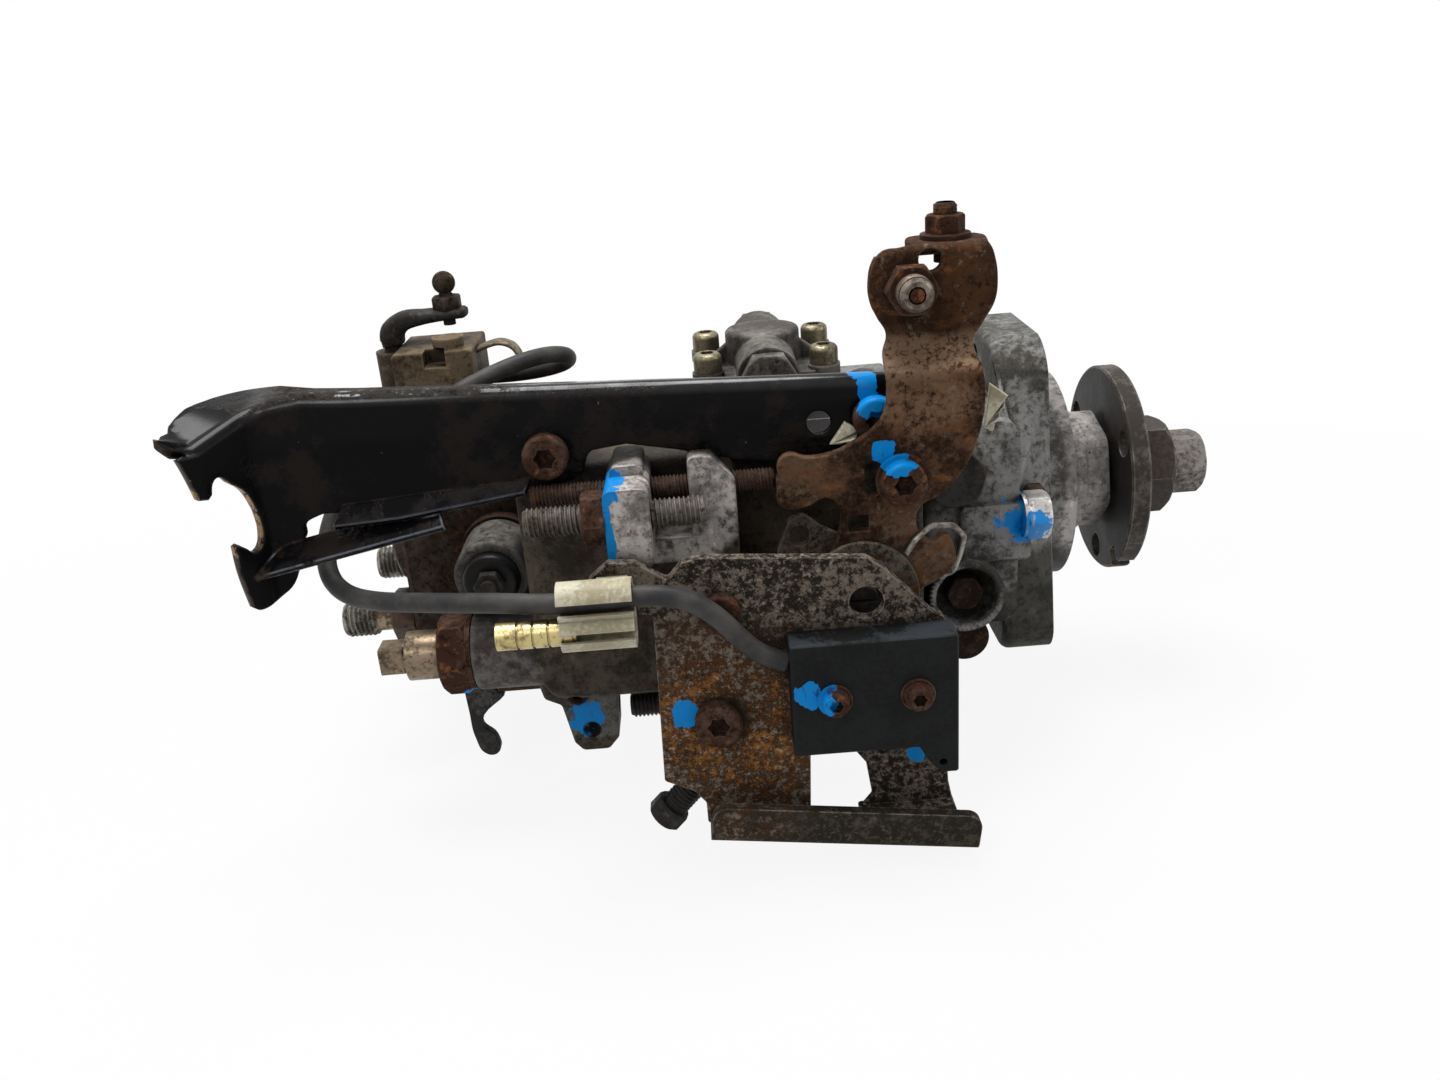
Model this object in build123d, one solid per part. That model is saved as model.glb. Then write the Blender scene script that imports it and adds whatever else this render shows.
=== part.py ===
from build123d import *
import os
from math import asin, atan2, cos, degrees, hypot, pi, radians, sin, tan

os.makedirs("parts", exist_ok=True)

# Rotary diesel injection pump with its levers, cable bracket and idle switch, in millimetres.
# +X runs along the drive shaft towards the hub, +Z is up as the pump hangs on its engine, and the
# levers face -Y. The origin is on the shaft axis, at the face of the mounting flange.

# ---------------------------------------------------------------- fits
running_gap = 0.05        # radial gap of a shaft in its bearing
location_gap = 0.02       # radial gap of a spigot in its register
screw_gap = 0.3           # radial gap of a screw in a plain hole
working_gap = 0.5         # gap between pieces that move past each other
socket_lobe = 0.78        # inner over outer radius of a six-lobed socket

# ---------------------------------------------------------------- drive line, stations along X
flange_thickness = 16.0
flange_half_width = 44.0
flange_top = 52.0
flange_bottom = -47.0
flange_corner = 9.0
flange_bolt_radius = 42.0
flange_bolt_count = 3
flange_bolt_first = 90.0
flange_hole_radius = 4.3
pilot_radius = 34.5
pilot_length = 9.0
nose_radius = 20.5
nose_length = 24.7
shaft_radius = 8.5
bearing_radius = 14.0
bearing_length = 30.0
seal_radius = 15.0
seal_length = 9.0
neck_radius = 33.0
neck_length = 30.0
barrel_radius = 41.0
barrel_rear = -150.0
governor_bay_radius = 28.0
governor_bay_front = -19.5
cam_bay_front = -71.0
cam_bay_rear = -98.0

hub_start = 26.5
hub_disc_thickness = 6.3
hub_disc_radius = 34.5
hub_bore_radius = 7.5
hub_hex_flats = 29.0
hub_hex_length = 15.0
hub_hole_circle = 28.0
hub_hole_count = 3
hub_hole_first = -94.0
hub_hole_radius = 4.2
hub_notch_angle = -128.0
hub_notch_width = 6.0
hub_notch_depth = 6.0
nose_screw_flats = 19.0
nose_screw_head = 12.3
nose_screw_radius = 5.0
nose_screw_length = 22.0

# ---------------------------------------------------------------- governor
cage_front = -21.5
cage_length = 25.0
cage_radius = 26.0
cage_wall = 3.0
weight_count = 4
weight_width = 14.0
sleeve_radius = 12.0
sleeve_length = 5.5
sleeve_travel = 2.5
arm_thickness = 3.0
arm_half_width = 12.0
arm_pivot_y = -36.0
arm_tip_y = -57.0
arm_pivot_radius = 2.5

# ---------------------------------------------------------------- cam box and rotor
cam_centre_x = -86.0
cam_width = 18.0
cam_radius = 32.0
cam_base_radius = 25.0
cam_lift = 2.0
cam_lobe_count = 4
carrier_radius = 22.5
carrier_web = 4.0
rotor_head_radius = 12.5
rotor_radius = 9.5
rotor_rear = -192.0
plunger_radius = 3.5
plunger_inner = 1.5
shoe_width = 9.0
shoe_length = 14.0
roller_radius = 4.0
roller_gap = 0.3            # under the crests of the cam
tang_width = 6.0
tang_length = 5.0

# ---------------------------------------------------------------- hydraulic head and transfer pump
head_spigot_radius = 33.0
head_rear = -205.0
head_half_width = 35.0
head_corner = 11.0
union_circle = 34.0
union_count = 4
union_first = 45.0
union_hex_flats = 16.0
union_hex_length = 8.0
union_neck_radius = 4.6
union_neck_length = 6.0
union_thread_radius = 6.0
union_thread_length = 11.0
union_bore_radius = 2.0
liner_radius = 17.0
liner_bore_radius = 13.0
liner_offset = 1.5
liner_length = 11.0
blade_thickness = 2.0
blade_reach = 11.0
end_plate_radius = 20.0
end_plate_thickness = 7.0
inlet_radius = 7.0
inlet_length = 10.0
inlet_bore_radius = 4.0

# ---------------------------------------------------------------- advance unit, on top
advance_centre_y = -7.0
advance_flange_bottom = barrel_radius + 0.2
advance_axis_z = advance_flange_bottom + 7.8
advance_piston_radius = 6.5
advance_piston_length = 24.0
advance_travel = 5.0
advance_wall = 3.0
advance_half_length = 28.0
advance_dome_radius = 11.8
advance_dome_top = advance_axis_z + 10.0
advance_flange_half_x = 22.0
advance_flange_half_y = 19.0
advance_flange_top = advance_flange_bottom + 6.8
cap_screw_x = 18.0
cap_screw_y = 15.0
cap_screw_head_radius = 4.4
cap_screw_head = 6.0
cap_screw_radius = 2.9
cap_screw_length = 12.0
cap_screw_seat = advance_flange_top + 1.5
peg_radius = 3.2
peg_ball_radius = 3.9

# ---------------------------------------------------------------- governor cover, on the front
cover_left = -161.0
cover_right = -46.0
cover_bottom = -36.0
cover_top = 38.0
cover_joint_y = -44.0
cover_face_y = -70.0
cover_wall = 5.0
cover_end_wall = 3.5      # right end, beside the governor arm
cover_hollow_left = -137.0
link_y = -53.0
link_radius = 1.2
link_z = 9.0              # metering link above the shaft line
governor_spring_z = -8.0
crank_y = -53.5
cover_corner = 8.0
shoulder_left = -45.5
shoulder_face_y = -55.0
shoulder_bottom = -28.0
shoulder_top = 36.0

# ---------------------------------------------------------------- throttle group, axis along Y
throttle_axis_x = -67.0
throttle_axis_z = 1.5
throttle_shaft_radius = 4.0
throttle_shaft_front = -95.0
throttle_shaft_rear = -52.0
throttle_boss_radius = 9.0
throttle_boss_front = -76.0
idle_lever_front = -83.0
idle_lever_thickness = 2.5
throttle_lever_front = -87.5
sheet_thickness = 3.0
throttle_joggle = 5.5
throttle_joggle_low = 61.0
throttle_joggle_high = 66.0
throttle_tab_z = 92.5
throttle_tab_reach = 17.0
toe_top = 33.0              # swings clear under the cable bracket
spring_plate_front = -92.0
spring_plate_radius = 15.5
spring_plate_thickness = 1.5
lever_screw_x = -55.0
lever_screw_z = 32.7
lever_stud_x = -51.4
lever_stud_z = 82.0
tab_stud_x = -40.5
tab_stud_y = -73.0
throttle_outline_low = [
    (31, 62.5),
    (32, 57),
    (34, 46),
    (31, 35.5),
    (23, 24.5),
    (15.5, 16),
    (12.5, 11.5),
    (17.5, 6),
    (22.5, 11.5),
    (26.5, 3.0),
    (25, 0),
    (18, -2),
    (13, -9.5),
    (0, -11.5),
    (-11, -4),
    (-10, 6),
    (-5, 16.5),
    (-13, 24.5),
    (-21, 26.5),
    (-21.3, 34.5),
    (-18.5, 41),
    (-7, 39),
    (4, 46.5),
    (6, 51),
    (4, 58),
    (3.5, 62.5),
]

throttle_outline_high = [
    (3.5, 58),
    (7, 71),
    (4, 82),
    (7, 89.5),
    (16, 90),
    (16, 96),
    (36, 96),
    (37.5, 80),
    (34, 70),
    (30, 65.5),
    (31, 58),
]

# ---------------------------------------------------------------- adjusting screws
idle_screw_radius = 3.0
idle_screw_y = -80.5
idle_screw_z = 33.5
idle_screw_left = -154.5
idle_screw_right = -88.6
stop_screw_radius = 4.0
stop_screw_y = -91.5
stop_screw_z = 30.0
stop_screw_left = -155.6
stop_screw_right = -107.5
lug_left_x = -128.0
lug_left_width = 12.0
lug_right_x = -105.5
lug_right_width = 12.5

# ---------------------------------------------------------------- cable bracket
bracket_front_y = -78.0
bracket_thickness = 3.0
bracket_right = -57.0
bracket_bend_x = -225.0
bracket_depth = 17.0
fork_angle = 50.0
fork_notch_radius = 10.3
bracket_screw_left_x = -149.4
bracket_screw_left_z = 44.2
bracket_screw_right_x = -60.5
bracket_screw_right_z = 47.5
bracket_boss_radius = 7.5

# ---------------------------------------------------------------- switch bracket and idle switch
low_bolt_x = -29.5
low_bolt_y = -46.0
low_bolt_z = -36.0
stud_y = -56.0
stud_z = -45.0
stud_radius = 3.4
ear_hole_x = -151.8
ear_hole_z = -38.1
link_hole_x = -148.6
link_hole_z = -50.9
switch_plate_front = -103.0
switch_plate_thickness = 3.0
switch_lip_front = -112.0
switch_lip_bottom = -70.0
switch_lip_top = -58.5
switch_lip_left = -114.0
switch_lip_right = -39.5
switch_lip_tilt = 7.3
pillar_radius = 7.0
pillar_low_x = -108.7
pillar_low_z = -27.0
pillar_high_x = -106.0
pillar_high_z = 5.5
switch_left = -89.0
switch_right = -45.0
switch_top = -2.0
switch_bottom = -35.0
switch_depth = 9.0
switch_screw_x = (-77.7, -55.9)
switch_screw_z = -18.4
switch_screw_radius = 2.0
switch_outline = [
    (-125, -45),
    (-117, -49),
    (-114, -53),
    (-114, -60),
    (-85, -60),
    (-84, -36),
    (-47, -36),
    (-47, -1),
    (-50, 0.5),
    (-62, 13.5),
    (-67, 17.5),
    (-110, 21),
    (-115, 20),
    (-119, 15.5),
    (-127, 21),
    (-134, 21.5),
    (-139.5, 17),
    (-139.5, 9),
    (-123.5, 6),
]

# ---------------------------------------------------------------- shut-off solenoid
solenoid_x = -173.0
solenoid_z = 1.0
solenoid_radius = 11.5
solenoid_front = -58.0
boot_radius = 8.5
boot_front = -62.0
terminal_radius = 2.5
terminal_front = -67.0

# ---------------------------------------------------------------- adjuster on the cover's left end
adjuster_y = -58.0
adjuster_z = -22.5
adjuster_boss_left = -181.0
adjuster_boss_radius = 12.0
adjuster_nut_flats = 22.0
adjuster_nut_length = 10.0
adjuster_barrel_radius = 7.6
adjuster_barrel_left = -201.5
adjuster_square = 8.5
adjuster_square_left = -210.0

# ---------------------------------------------------------------- stop lever, below the head
stop_lever_x = -183.0
stop_lever_y = -42.0
stop_lever_z = -38.0
stop_lever_length = 46.0
stop_lever_angle = -45.0
stop_shaft_radius = 4.0
stop_boss_radius = 7.0

# ---------------------------------------------------------------- valve block and its lever, at the rear top
valve_left = -203.5
valve_right = -178.0
valve_front_y = -12.0
valve_rear_y = 16.0
valve_top = 60.0
valve_spindle_x = -206.5
valve_spindle_y = 6.0
valve_spindle_radius = 3.0
ball_radius = 4.0
connector_y = 18.5
connector_z = 44.8
ball_stud_x = -187.0
ball_stud_top = 83.0

# ---------------------------------------------------------------- switch cable
cable_radius = 2.7
cable_points = [
    (-89.8, -107.5, -8.4),
    (-96.0, -107.8, -5.9),
    (-101.2, -109.2, 0.2),
    (-105.5, -110.4, 6.4),
    (-111.5, -111.5, 12.4),
    (-119.5, -112.0, 15.7),
    (-129.0, -112.0, 16.0),
    (-139.0, -111.8, 15.4),
    (-150.0, -110.7, 14.9),
    (-162.0, -107.3, 14.8),
    (-174.0, -102.5, 13.6),
    (-186.0, -97.0, 12.2),
    (-197.5, -91.0, 10.6),
    (-207.5, -84.5, 10.2),
    (-214.5, -76.5, 12.5),
    (-217.0, -67.5, 18.0),
    (-215.5, -58.5, 26.0),
    (-210.0, -49.5, 34.0),
    (-201.0, -38.5, 41.0),
    (-189.5, -27.0, 46.5),
    (-177.5, -18.0, 50.8),
    (-166.0, -11.5, 54.0),
    (-156.5, -5.0, 55.0),
    (-150.0, 2.5, 53.0),
    (-150.0, 10.5, 49.0),
    (-156.5, 17.0, 45.5),
    (-166.5, 20.5, 43.5),
    (-178.0, 21.8, 43.0),
    (-190.0, 21.3, 43.8),
    (-197.5, 20.6, 44.5),
    (-203.2, 20.2, 44.8),
]
clip_left = -146.5
clip_right = -127.5
clip_wall = 1.4
clip_gap = 1.2
terminal_z = 7.4
brass_radius = 3.6


def along_x(x, y, z):
    """Plane with its normal along +X, so that its own x and y are Y and Z."""
    return Plane(origin=(x, y, z), x_dir=(0, 1, 0), z_dir=(1, 0, 0))


def to_front(x, y, z):
    """Plane with its normal along -Y, so that its own x and y are X and Z."""
    return Plane(origin=(x, y, z), x_dir=(1, 0, 0), z_dir=(0, -1, 0))


def upward(x, y, z):
    """Plane with its normal along +Z."""
    return Plane(origin=(x, y, z), x_dir=(1, 0, 0), z_dir=(0, 0, 1))


def rod(place, radius, start, end):
    """Round bar along a plane's normal, from start to end."""
    return place * Pos(0, 0, (start + end) / 2) * Cylinder(radius, end - start)


def tube(place, radius, bore, start, end):
    """Round bar with a through bore."""
    return rod(place, radius, start, end) - rod(place, bore, start - 1, end + 1)


def hex_bar(place, flats, start, end):
    """Hexagonal bar with the corners of both ends turned off, as on a nut."""
    prism = extrude(RegularPolygon(flats / 2, 6, major_radius=False), end - start)
    corner_radius = flats / 2 / cos(pi / 6)
    turned = Pos(0, 0, (end - start) / 2) * Cylinder(corner_radius, end - start)
    turned = chamfer(turned.edges().filter_by(GeomType.CIRCLE), (corner_radius - flats / 2) * 0.9)
    return place * Pos(0, 0, start) * (prism & turned)


def corner_radii(points, closed, wanted):
    """Radius for each corner of an outline or route, held to what its shorter neighbour run leaves room for."""
    if closed:
        points = [points[-1], *points, points[0]]
    radii = []
    for before, here, after in zip(points, points[1:], points[2:]):
        run_in = Vector(*here) - Vector(*before)
        run_out = Vector(*after) - Vector(*here)
        turn = radians(run_in.get_angle(run_out))
        room = 0.45 * min(run_in.length, run_out.length) / tan(turn / 2) if turn > 0.02 else 0.0
        radii.append(min(wanted, room))
    return radii


def slab(place, outline, start, end, radius=0.0):
    """Flat piece: an outline in the place's plane, extruded along its normal, corners rounded."""
    wire = Polyline(*outline, close=True)
    if radius:
        wire = FilletPolyline(*outline, radius=corner_radii(outline, True, radius), close=True)
    return place * Pos(0, 0, start) * extrude(make_face(wire), end - start)


def coil(place, radius, wire, turns, length):
    """Open coil of round wire along the place's normal."""
    path = Helix(pitch=length / turns, height=length, radius=radius)
    section = Plane(origin=path @ 0, z_dir=path % 0) * Circle(wire)
    return place * sweep(section, path)


def rectangle(left, right, bottom, top):
    """Corners of a rectangle, anticlockwise."""
    return [(left, bottom), (right, bottom), (right, top), (left, top)]


def lobed_socket(place, radius, start, end):
    """Six-lobed driver socket."""
    points = []
    for k in range(12):
        reach = radius if k % 2 == 0 else radius * socket_lobe
        points.append((reach * cos(pi * k / 6), reach * sin(pi * k / 6)))
    return slab(place, points, start, end)


def screw(place, head_radius, head_height, shank_radius, length, socket=0.0):
    """Screw whose head stands on the plane and whose shank goes the other way."""
    head = rod(place, head_radius, 0, head_height)
    head = fillet(head.edges().sort_by(lambda e: (e.center() - place.origin).length)[-1], head_height * 0.3)
    body = head + rod(place, shank_radius, -length, 0)
    if socket:
        body -= lobed_socket(place, socket, head_height * 0.35, head_height + 1)
    return body


def save(name, *solids):
    """Writes one sub-part, which may be a group of separate solids."""
    shapes = []
    for solid in solids:
        shapes.extend(solid.solids())
    export_step(Compound(children=shapes) if len(shapes) > 1 else shapes[0], f"parts/{name}.step")


axis = along_x(0, 0, 0)

flange_holes = [
    (
        flange_bolt_radius * cos(radians(flange_bolt_first + 360 * k / flange_bolt_count)),
        flange_bolt_radius * sin(radians(flange_bolt_first + 360 * k / flange_bolt_count)),
    )
    for k in range(flange_bolt_count)
]

hub_holes = [
    (
        hub_hole_circle * cos(radians(hub_hole_first + 360 * k / hub_hole_count)),
        hub_hole_circle * sin(radians(hub_hole_first + 360 * k / hub_hole_count)),
    )
    for k in range(hub_hole_count)
]

union_places = [
    (
        union_circle * cos(radians(union_first + 360 * k / union_count)),
        union_circle * sin(radians(union_first + 360 * k / union_count)),
    )
    for k in range(union_count)
]

cap_screw_places = [
    (cam_centre_x + sx * cap_screw_x, advance_centre_y + sy * cap_screw_y) for sx in (-1, 1) for sy in (-1, 1)
]

arm_x = cage_front - cage_length - sleeve_length - working_gap - arm_thickness / 2
window_left = arm_x - 12.0
window_right = arm_x + 6.0
window_half = arm_half_width + 2.0
metering_x = -128.0
metering_radius = 4.0


def main_housing():
    """Aluminium casting: flange, pilot and nose in front, barrel behind, flat deck for the cover."""
    flange = slab(
        axis,
        rectangle(-flange_half_width, flange_half_width, flange_bottom, flange_top),
        -flange_thickness,
        0,
        flange_corner,
    )
    flange = fillet(flange.edges().filter_by(GeomType.LINE).group_by(Axis.X)[0], 3.0)
    body = flange + rod(axis, pilot_radius, 0, pilot_length)
    nose = slab(
        axis,
        [(nose_radius * cos(radians(a)), nose_radius * sin(radians(a))) for a in range(15, 375, 60)],
        pilot_length,
        nose_length,
        6.0,
    )
    nose += rod(axis, nose_radius * 0.98, pilot_length, nose_length - 8)
    body += nose
    body += rod(axis, neck_radius, -neck_length - flange_thickness, -flange_thickness)
    barrel = rod(axis, barrel_radius, barrel_rear, -neck_length - flange_thickness)
    body += barrel
    deck = slab(
        to_front(0, cover_joint_y, 0),
        rectangle(cover_left + 12, cover_right, cover_bottom, cover_top),
        -30,
        0,
        cover_corner,
    )
    body += deck
    shoulder = slab(
        to_front(0, shoulder_face_y, 0),
        rectangle(shoulder_left, -flange_thickness + 1, shoulder_bottom, shoulder_top),
        -40,
        0,
        5.0,
    )
    body += shoulder
    pad = slab(to_front(0, shoulder_face_y, 0), rectangle(-33, -12, -6.5, 11.5), -12, 3, 1.5)
    body += pad
    recess = to_front(-32, shoulder_face_y, -15.5)
    body += rod(recess, 11.5, -4, 7)
    body -= rod(recess, 9.3, 1, 8)
    body -= rod(recess, 3.2, -16, 2)
    low_lug = slab(to_front(0, low_bolt_y, 0), rectangle(low_bolt_x - 7, low_bolt_x + 7, low_bolt_z - 7, -20), -26, 0, 4.0)
    body += low_lug
    body -= rod(to_front(low_bolt_x, 0, low_bolt_z), 3.0, 30, 60)
    top_pad = Pos(cam_centre_x, advance_centre_y, (barrel_radius - 10 + advance_flange_bottom) / 2)
    top_pad *= Box(2 * advance_flange_half_x, 2 * advance_flange_half_y, advance_flange_bottom - barrel_radius + 10)
    body += top_pad
    body -= rod(axis, shaft_radius + 1.0, -40, nose_length + 1)
    body -= rod(axis, seal_radius, nose_length - seal_length, nose_length + 1)
    body -= rod(axis, bearing_radius, governor_bay_front - 1, governor_bay_front + bearing_length)
    body -= rod(axis, governor_bay_radius, cam_bay_front - 1, governor_bay_front)
    body -= rod(axis, cam_radius + running_gap, cam_bay_rear - 1, cam_bay_front)
    body -= rod(axis, head_spigot_radius + location_gap, barrel_rear - 1, cam_bay_rear)
    window = slab(
        to_front(0, cover_joint_y, 0),
        rectangle(window_left, window_right, -window_half, window_half),
        -30,
        1,
        3.0,
    )
    body -= window
    body -= rod(to_front(metering_x, 0, 0), metering_radius + 2.0, 25, 60)
    slot = slab(
        upward(cam_centre_x, 0, 0),
        rectangle(-peg_ball_radius - 1, peg_ball_radius + 1, -advance_travel - 6, advance_travel + 6),
        20,
        60,
    )
    body -= slot
    for y, z in flange_holes:
        body -= rod(along_x(0, y, z), flange_hole_radius, -flange_thickness - 1, 1)
    for y, z in flange_holes:
        body -= rod(along_x(0, y, z), flange_hole_radius + 4.2, -flange_thickness - 9, -flange_thickness)
    for x, y in cap_screw_places:
        body -= rod(upward(x, y, 0), cap_screw_radius, cap_screw_seat - cap_screw_length - 0.5, 60)
    return body


def governor_cover():
    """Front cover: a hollow casting with the throttle bearing, the screw lugs and the bracket bosses."""
    face = to_front(0, cover_joint_y, 0)
    height = cover_joint_y - cover_face_y
    body = slab(face, rectangle(cover_left, cover_right, cover_bottom, cover_top), 0, height, cover_corner)
    body = fillet(body.faces().sort_by(Axis.Y)[0].edges(), 2.5)
    hollow = slab(
        face,
        rectangle(
            cover_hollow_left, cover_right - cover_end_wall, cover_bottom + cover_wall, cover_top - cover_wall
        ),
        -1,
        height - cover_wall,
        cover_corner - 3,
    )
    body -= hollow
    front = to_front(0, cover_face_y, 0)
    reach = bracket_front_y + bracket_thickness
    for x, z in (
        (bracket_screw_left_x, bracket_screw_left_z),
        (bracket_screw_right_x, bracket_screw_right_z),
    ):
        boss = rod(to_front(x, 0, z), bracket_boss_radius, -cover_face_y - 16, -reach)
        foot = slab(
            to_front(x, 0, 0),
            rectangle(-bracket_boss_radius, bracket_boss_radius, cover_top - 6, z),
            -cover_face_y - 16,
            -reach - 4,
        )
        body += boss + foot
    lug_left = slab(
        to_front(lug_left_x, 0, 0),
        [
            (-lug_left_width / 2, 17),
            (lug_left_width / 2, 17),
            (lug_left_width / 2, stop_screw_z + 9),
            (-lug_left_width / 2, stop_screw_z + 9),
        ],
        -cover_face_y - 3,
        -stop_screw_y + 6.0,
        2.5,
    )
    lug_left += slab(
        to_front(lug_left_x, 0, 0),
        rectangle(-4.4, 4.4, 30, idle_screw_z + 8),
        -cover_face_y - 3,
        -idle_screw_y + 5,
        2.0,
    )
    lug_right = slab(
        to_front(lug_right_x, 0, 0),
        [
            (-lug_right_width / 2, 13),
            (lug_right_width / 2, 13),
            (lug_right_width / 2, idle_screw_z + 2),
            (0, idle_screw_z + 8.8),
            (-lug_right_width / 2, idle_screw_z + 8.8),
        ],
        -cover_face_y - 3,
        -idle_screw_y + 4.7,
        2.0,
    )
    web = slab(
        to_front(0, 0, 0),
        rectangle(lug_left_x, lug_right_x, 13, 20),
        -cover_face_y - 3,
        -idle_screw_y + 4.7,
        2.0,
    )
    body += lug_left + lug_right + web
    body += rod(to_front(throttle_axis_x, 0, throttle_axis_z), throttle_boss_radius, -cover_face_y - 2, -throttle_boss_front)
    for x, z in ((pillar_low_x, pillar_low_z), (pillar_high_x, pillar_high_z)):
        body += rod(to_front(x, 0, z), pillar_radius, -cover_face_y - 2, -switch_plate_front - switch_plate_thickness)
    boss = rod(along_x(0, adjuster_y, adjuster_z), adjuster_boss_radius, adjuster_boss_left, cover_left + 8)
    boss = fillet(boss.edges().filter_by(GeomType.CIRCLE), 1.5)
    body += boss
    ear = slab(
        to_front(0, adjuster_y - 4, 0),
        [(-164, -30), (-162, -39), (-157, -41.5), (-154.5, -55), (-152, -58), (-144, -58), (-140.5, -54), (-139, -30)],
        -12,
        0,
        2.0,
    )
    body += ear
    stud_lug = slab(to_front(0, stud_y - 6, 0), rectangle(-120, -108, stud_z - 6, cover_bottom + 3), -12, 0, 2.0)
    body += stud_lug
    screw_bores = (
        (idle_screw_y, idle_screw_z, idle_screw_radius),
        (stop_screw_y, stop_screw_z, stop_screw_radius),
        (stud_y, stud_z, stud_radius),
    )
    for y, z, radius in screw_bores:
        body -= rod(along_x(0, y, z), radius, cover_left - 5, cover_right)
    body -= rod(to_front(throttle_axis_x, 0, throttle_axis_z), throttle_shaft_radius + running_gap, 40, 90)
    for x, z in (
        (bracket_screw_left_x, bracket_screw_left_z),
        (bracket_screw_right_x, bracket_screw_right_z),
    ):
        body -= rod(to_front(x, 0, z), 3.0, -reach - 14, -reach + 1)
    for x, z in ((pillar_low_x, pillar_low_z), (pillar_high_x, pillar_high_z)):
        body -= rod(to_front(x, 0, z), 3.0, -switch_plate_front - 20, -switch_plate_front)
    body -= rod(along_x(0, adjuster_y, adjuster_z), 5.0, adjuster_boss_left - 1, cover_left + 20)
    for x, z, radius in ((ear_hole_x, ear_hole_z, 3.5), (link_hole_x, link_hole_z, 2.8)):
        body -= rod(to_front(x, 0, z), radius, 45, 75)
    return body


def shaft_bearing():
    """Plain bush for the drive shaft."""
    start = governor_bay_front + 0.5
    return tube(axis, bearing_radius - location_gap, shaft_radius + running_gap, start, start + bearing_length - 1)


def shaft_seal():
    """Lip seal in the nose, flush with its end."""
    ring = tube(axis, seal_radius - location_gap, shaft_radius + 2.0, nose_length - seal_length + 0.3, nose_length)
    lip = tube(axis, shaft_radius + 3.0, shaft_radius + running_gap, nose_length - 5.0, nose_length - 3.5)
    return ring + lip


def drive_shaft():
    """Shaft with the roller carrier at its rear end and the taper for the hub at its front."""
    carrier_front = cam_centre_x + cam_width / 2 + 1 + carrier_web
    body = rod(axis, shaft_radius, carrier_front - 1, hub_start)
    body += rod(axis, hub_bore_radius, hub_start - 1, hub_start + hub_disc_thickness + hub_hex_length)
    cup = rod(axis, carrier_radius, cam_centre_x - cam_width / 2, carrier_front)
    cup -= rod(axis, rotor_head_radius + working_gap, cam_centre_x - cam_width / 2 - 1, carrier_front - carrier_web)
    cup -= slab(
        axis,
        rectangle(-shoe_width / 2 - running_gap, shoe_width / 2 + running_gap, -40, 40),
        cam_centre_x - cam_width / 2 - 1,
        carrier_front - carrier_web,
    )
    body += cup
    body -= slab(
        axis,
        rectangle(-tang_width / 2 - running_gap, tang_width / 2 + running_gap, -8, 8),
        carrier_front - carrier_web - 1,
        carrier_front - carrier_web + tang_length + working_gap,
    )
    end = hub_start + hub_disc_thickness + hub_hex_length
    body -= rod(axis, nose_screw_radius, end - nose_screw_length - 2, end + 1)
    return body


def drive_hub():
    """Steel hub: a disc with tapped holes and a rim notch, and a hexagonal boss."""
    disc = rod(axis, hub_disc_radius, hub_start, hub_start + hub_disc_thickness)
    disc = chamfer(disc.edges().filter_by(GeomType.CIRCLE), 0.6)
    start = hub_start + hub_disc_thickness
    body = disc + hex_bar(along_x(start - 0.5, 0, 0), hub_hex_flats, 0, hub_hex_length + 0.5)
    body -= rod(axis, hub_bore_radius + location_gap, hub_start - 1, start + hub_hex_length + 1)
    for y, z in hub_holes:
        body -= rod(along_x(0, y, z), hub_hole_radius, hub_start - 1, start + 1)
    notch = Rot(hub_notch_angle, 0, 0) * Pos(hub_start + hub_disc_thickness / 2, hub_disc_radius, 0)
    body -= notch * Box(hub_disc_thickness + 2, 2 * hub_notch_depth, hub_notch_width)
    return body


def nose_screw():
    """Hexagon screw that holds the hub on the shaft."""
    seat = hub_start + hub_disc_thickness + hub_hex_length
    body = hex_bar(along_x(seat, 0, 0), nose_screw_flats, 0, nose_screw_head)
    return body + rod(axis, nose_screw_radius - location_gap, seat - nose_screw_length, seat + 1)


def governor_cage():
    """Cup on the shaft with a pocket for each flyweight."""
    front = cage_front
    body = rod(axis, cage_radius, front - cage_length, front)
    body -= rod(axis, cage_radius - cage_wall, front - cage_length - 1, front - cage_wall)
    pocket = Box(cage_length, 2 * cage_radius, weight_width + 1.0)
    for k in range(weight_count // 2):
        body -= Rot(360 * k / weight_count, 0, 0) * Pos(front - cage_wall - cage_length / 2, 0, 0) * pocket
    body += rod(axis, shaft_radius + 4.0, front - cage_length * 0.6, front - 0.5)
    return body - rod(axis, shaft_radius + location_gap, front - cage_length - 1, front + 1)


def governor_weights():
    """Flyweights lying in the cage's pockets, closed in as at standstill."""
    inner = shaft_radius + 4.6
    outer = cage_radius - 0.5
    weight = slab(
        to_front(0, 0, 0),
        [
            (-cage_wall - 0.4, inner + 4),
            (-cage_wall - 0.4, outer),
            (-cage_length + cage_wall + 0.5, outer),
            (-cage_length + 0.3, inner + 5),
            (-cage_length + 0.3, inner),
            (-cage_length * 0.55, inner),
        ],
        -weight_width / 2,
        weight_width / 2,
        1.0,
    )
    weight = Pos(cage_front, 0, 0) * weight
    return [Rot(360 * k / weight_count, 0, 0) * weight for k in range(weight_count)]


def thrust_sleeve():
    """Sleeve that the flyweights push along the shaft."""
    start = cage_front - cage_length - sleeve_length - 0.2
    body = rod(axis, sleeve_radius, start, start + sleeve_length)
    body = chamfer(body.edges().filter_by(GeomType.CIRCLE), 0.8)
    return body - rod(axis, shaft_radius + running_gap, start - 1, start + sleeve_length + 1)


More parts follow.
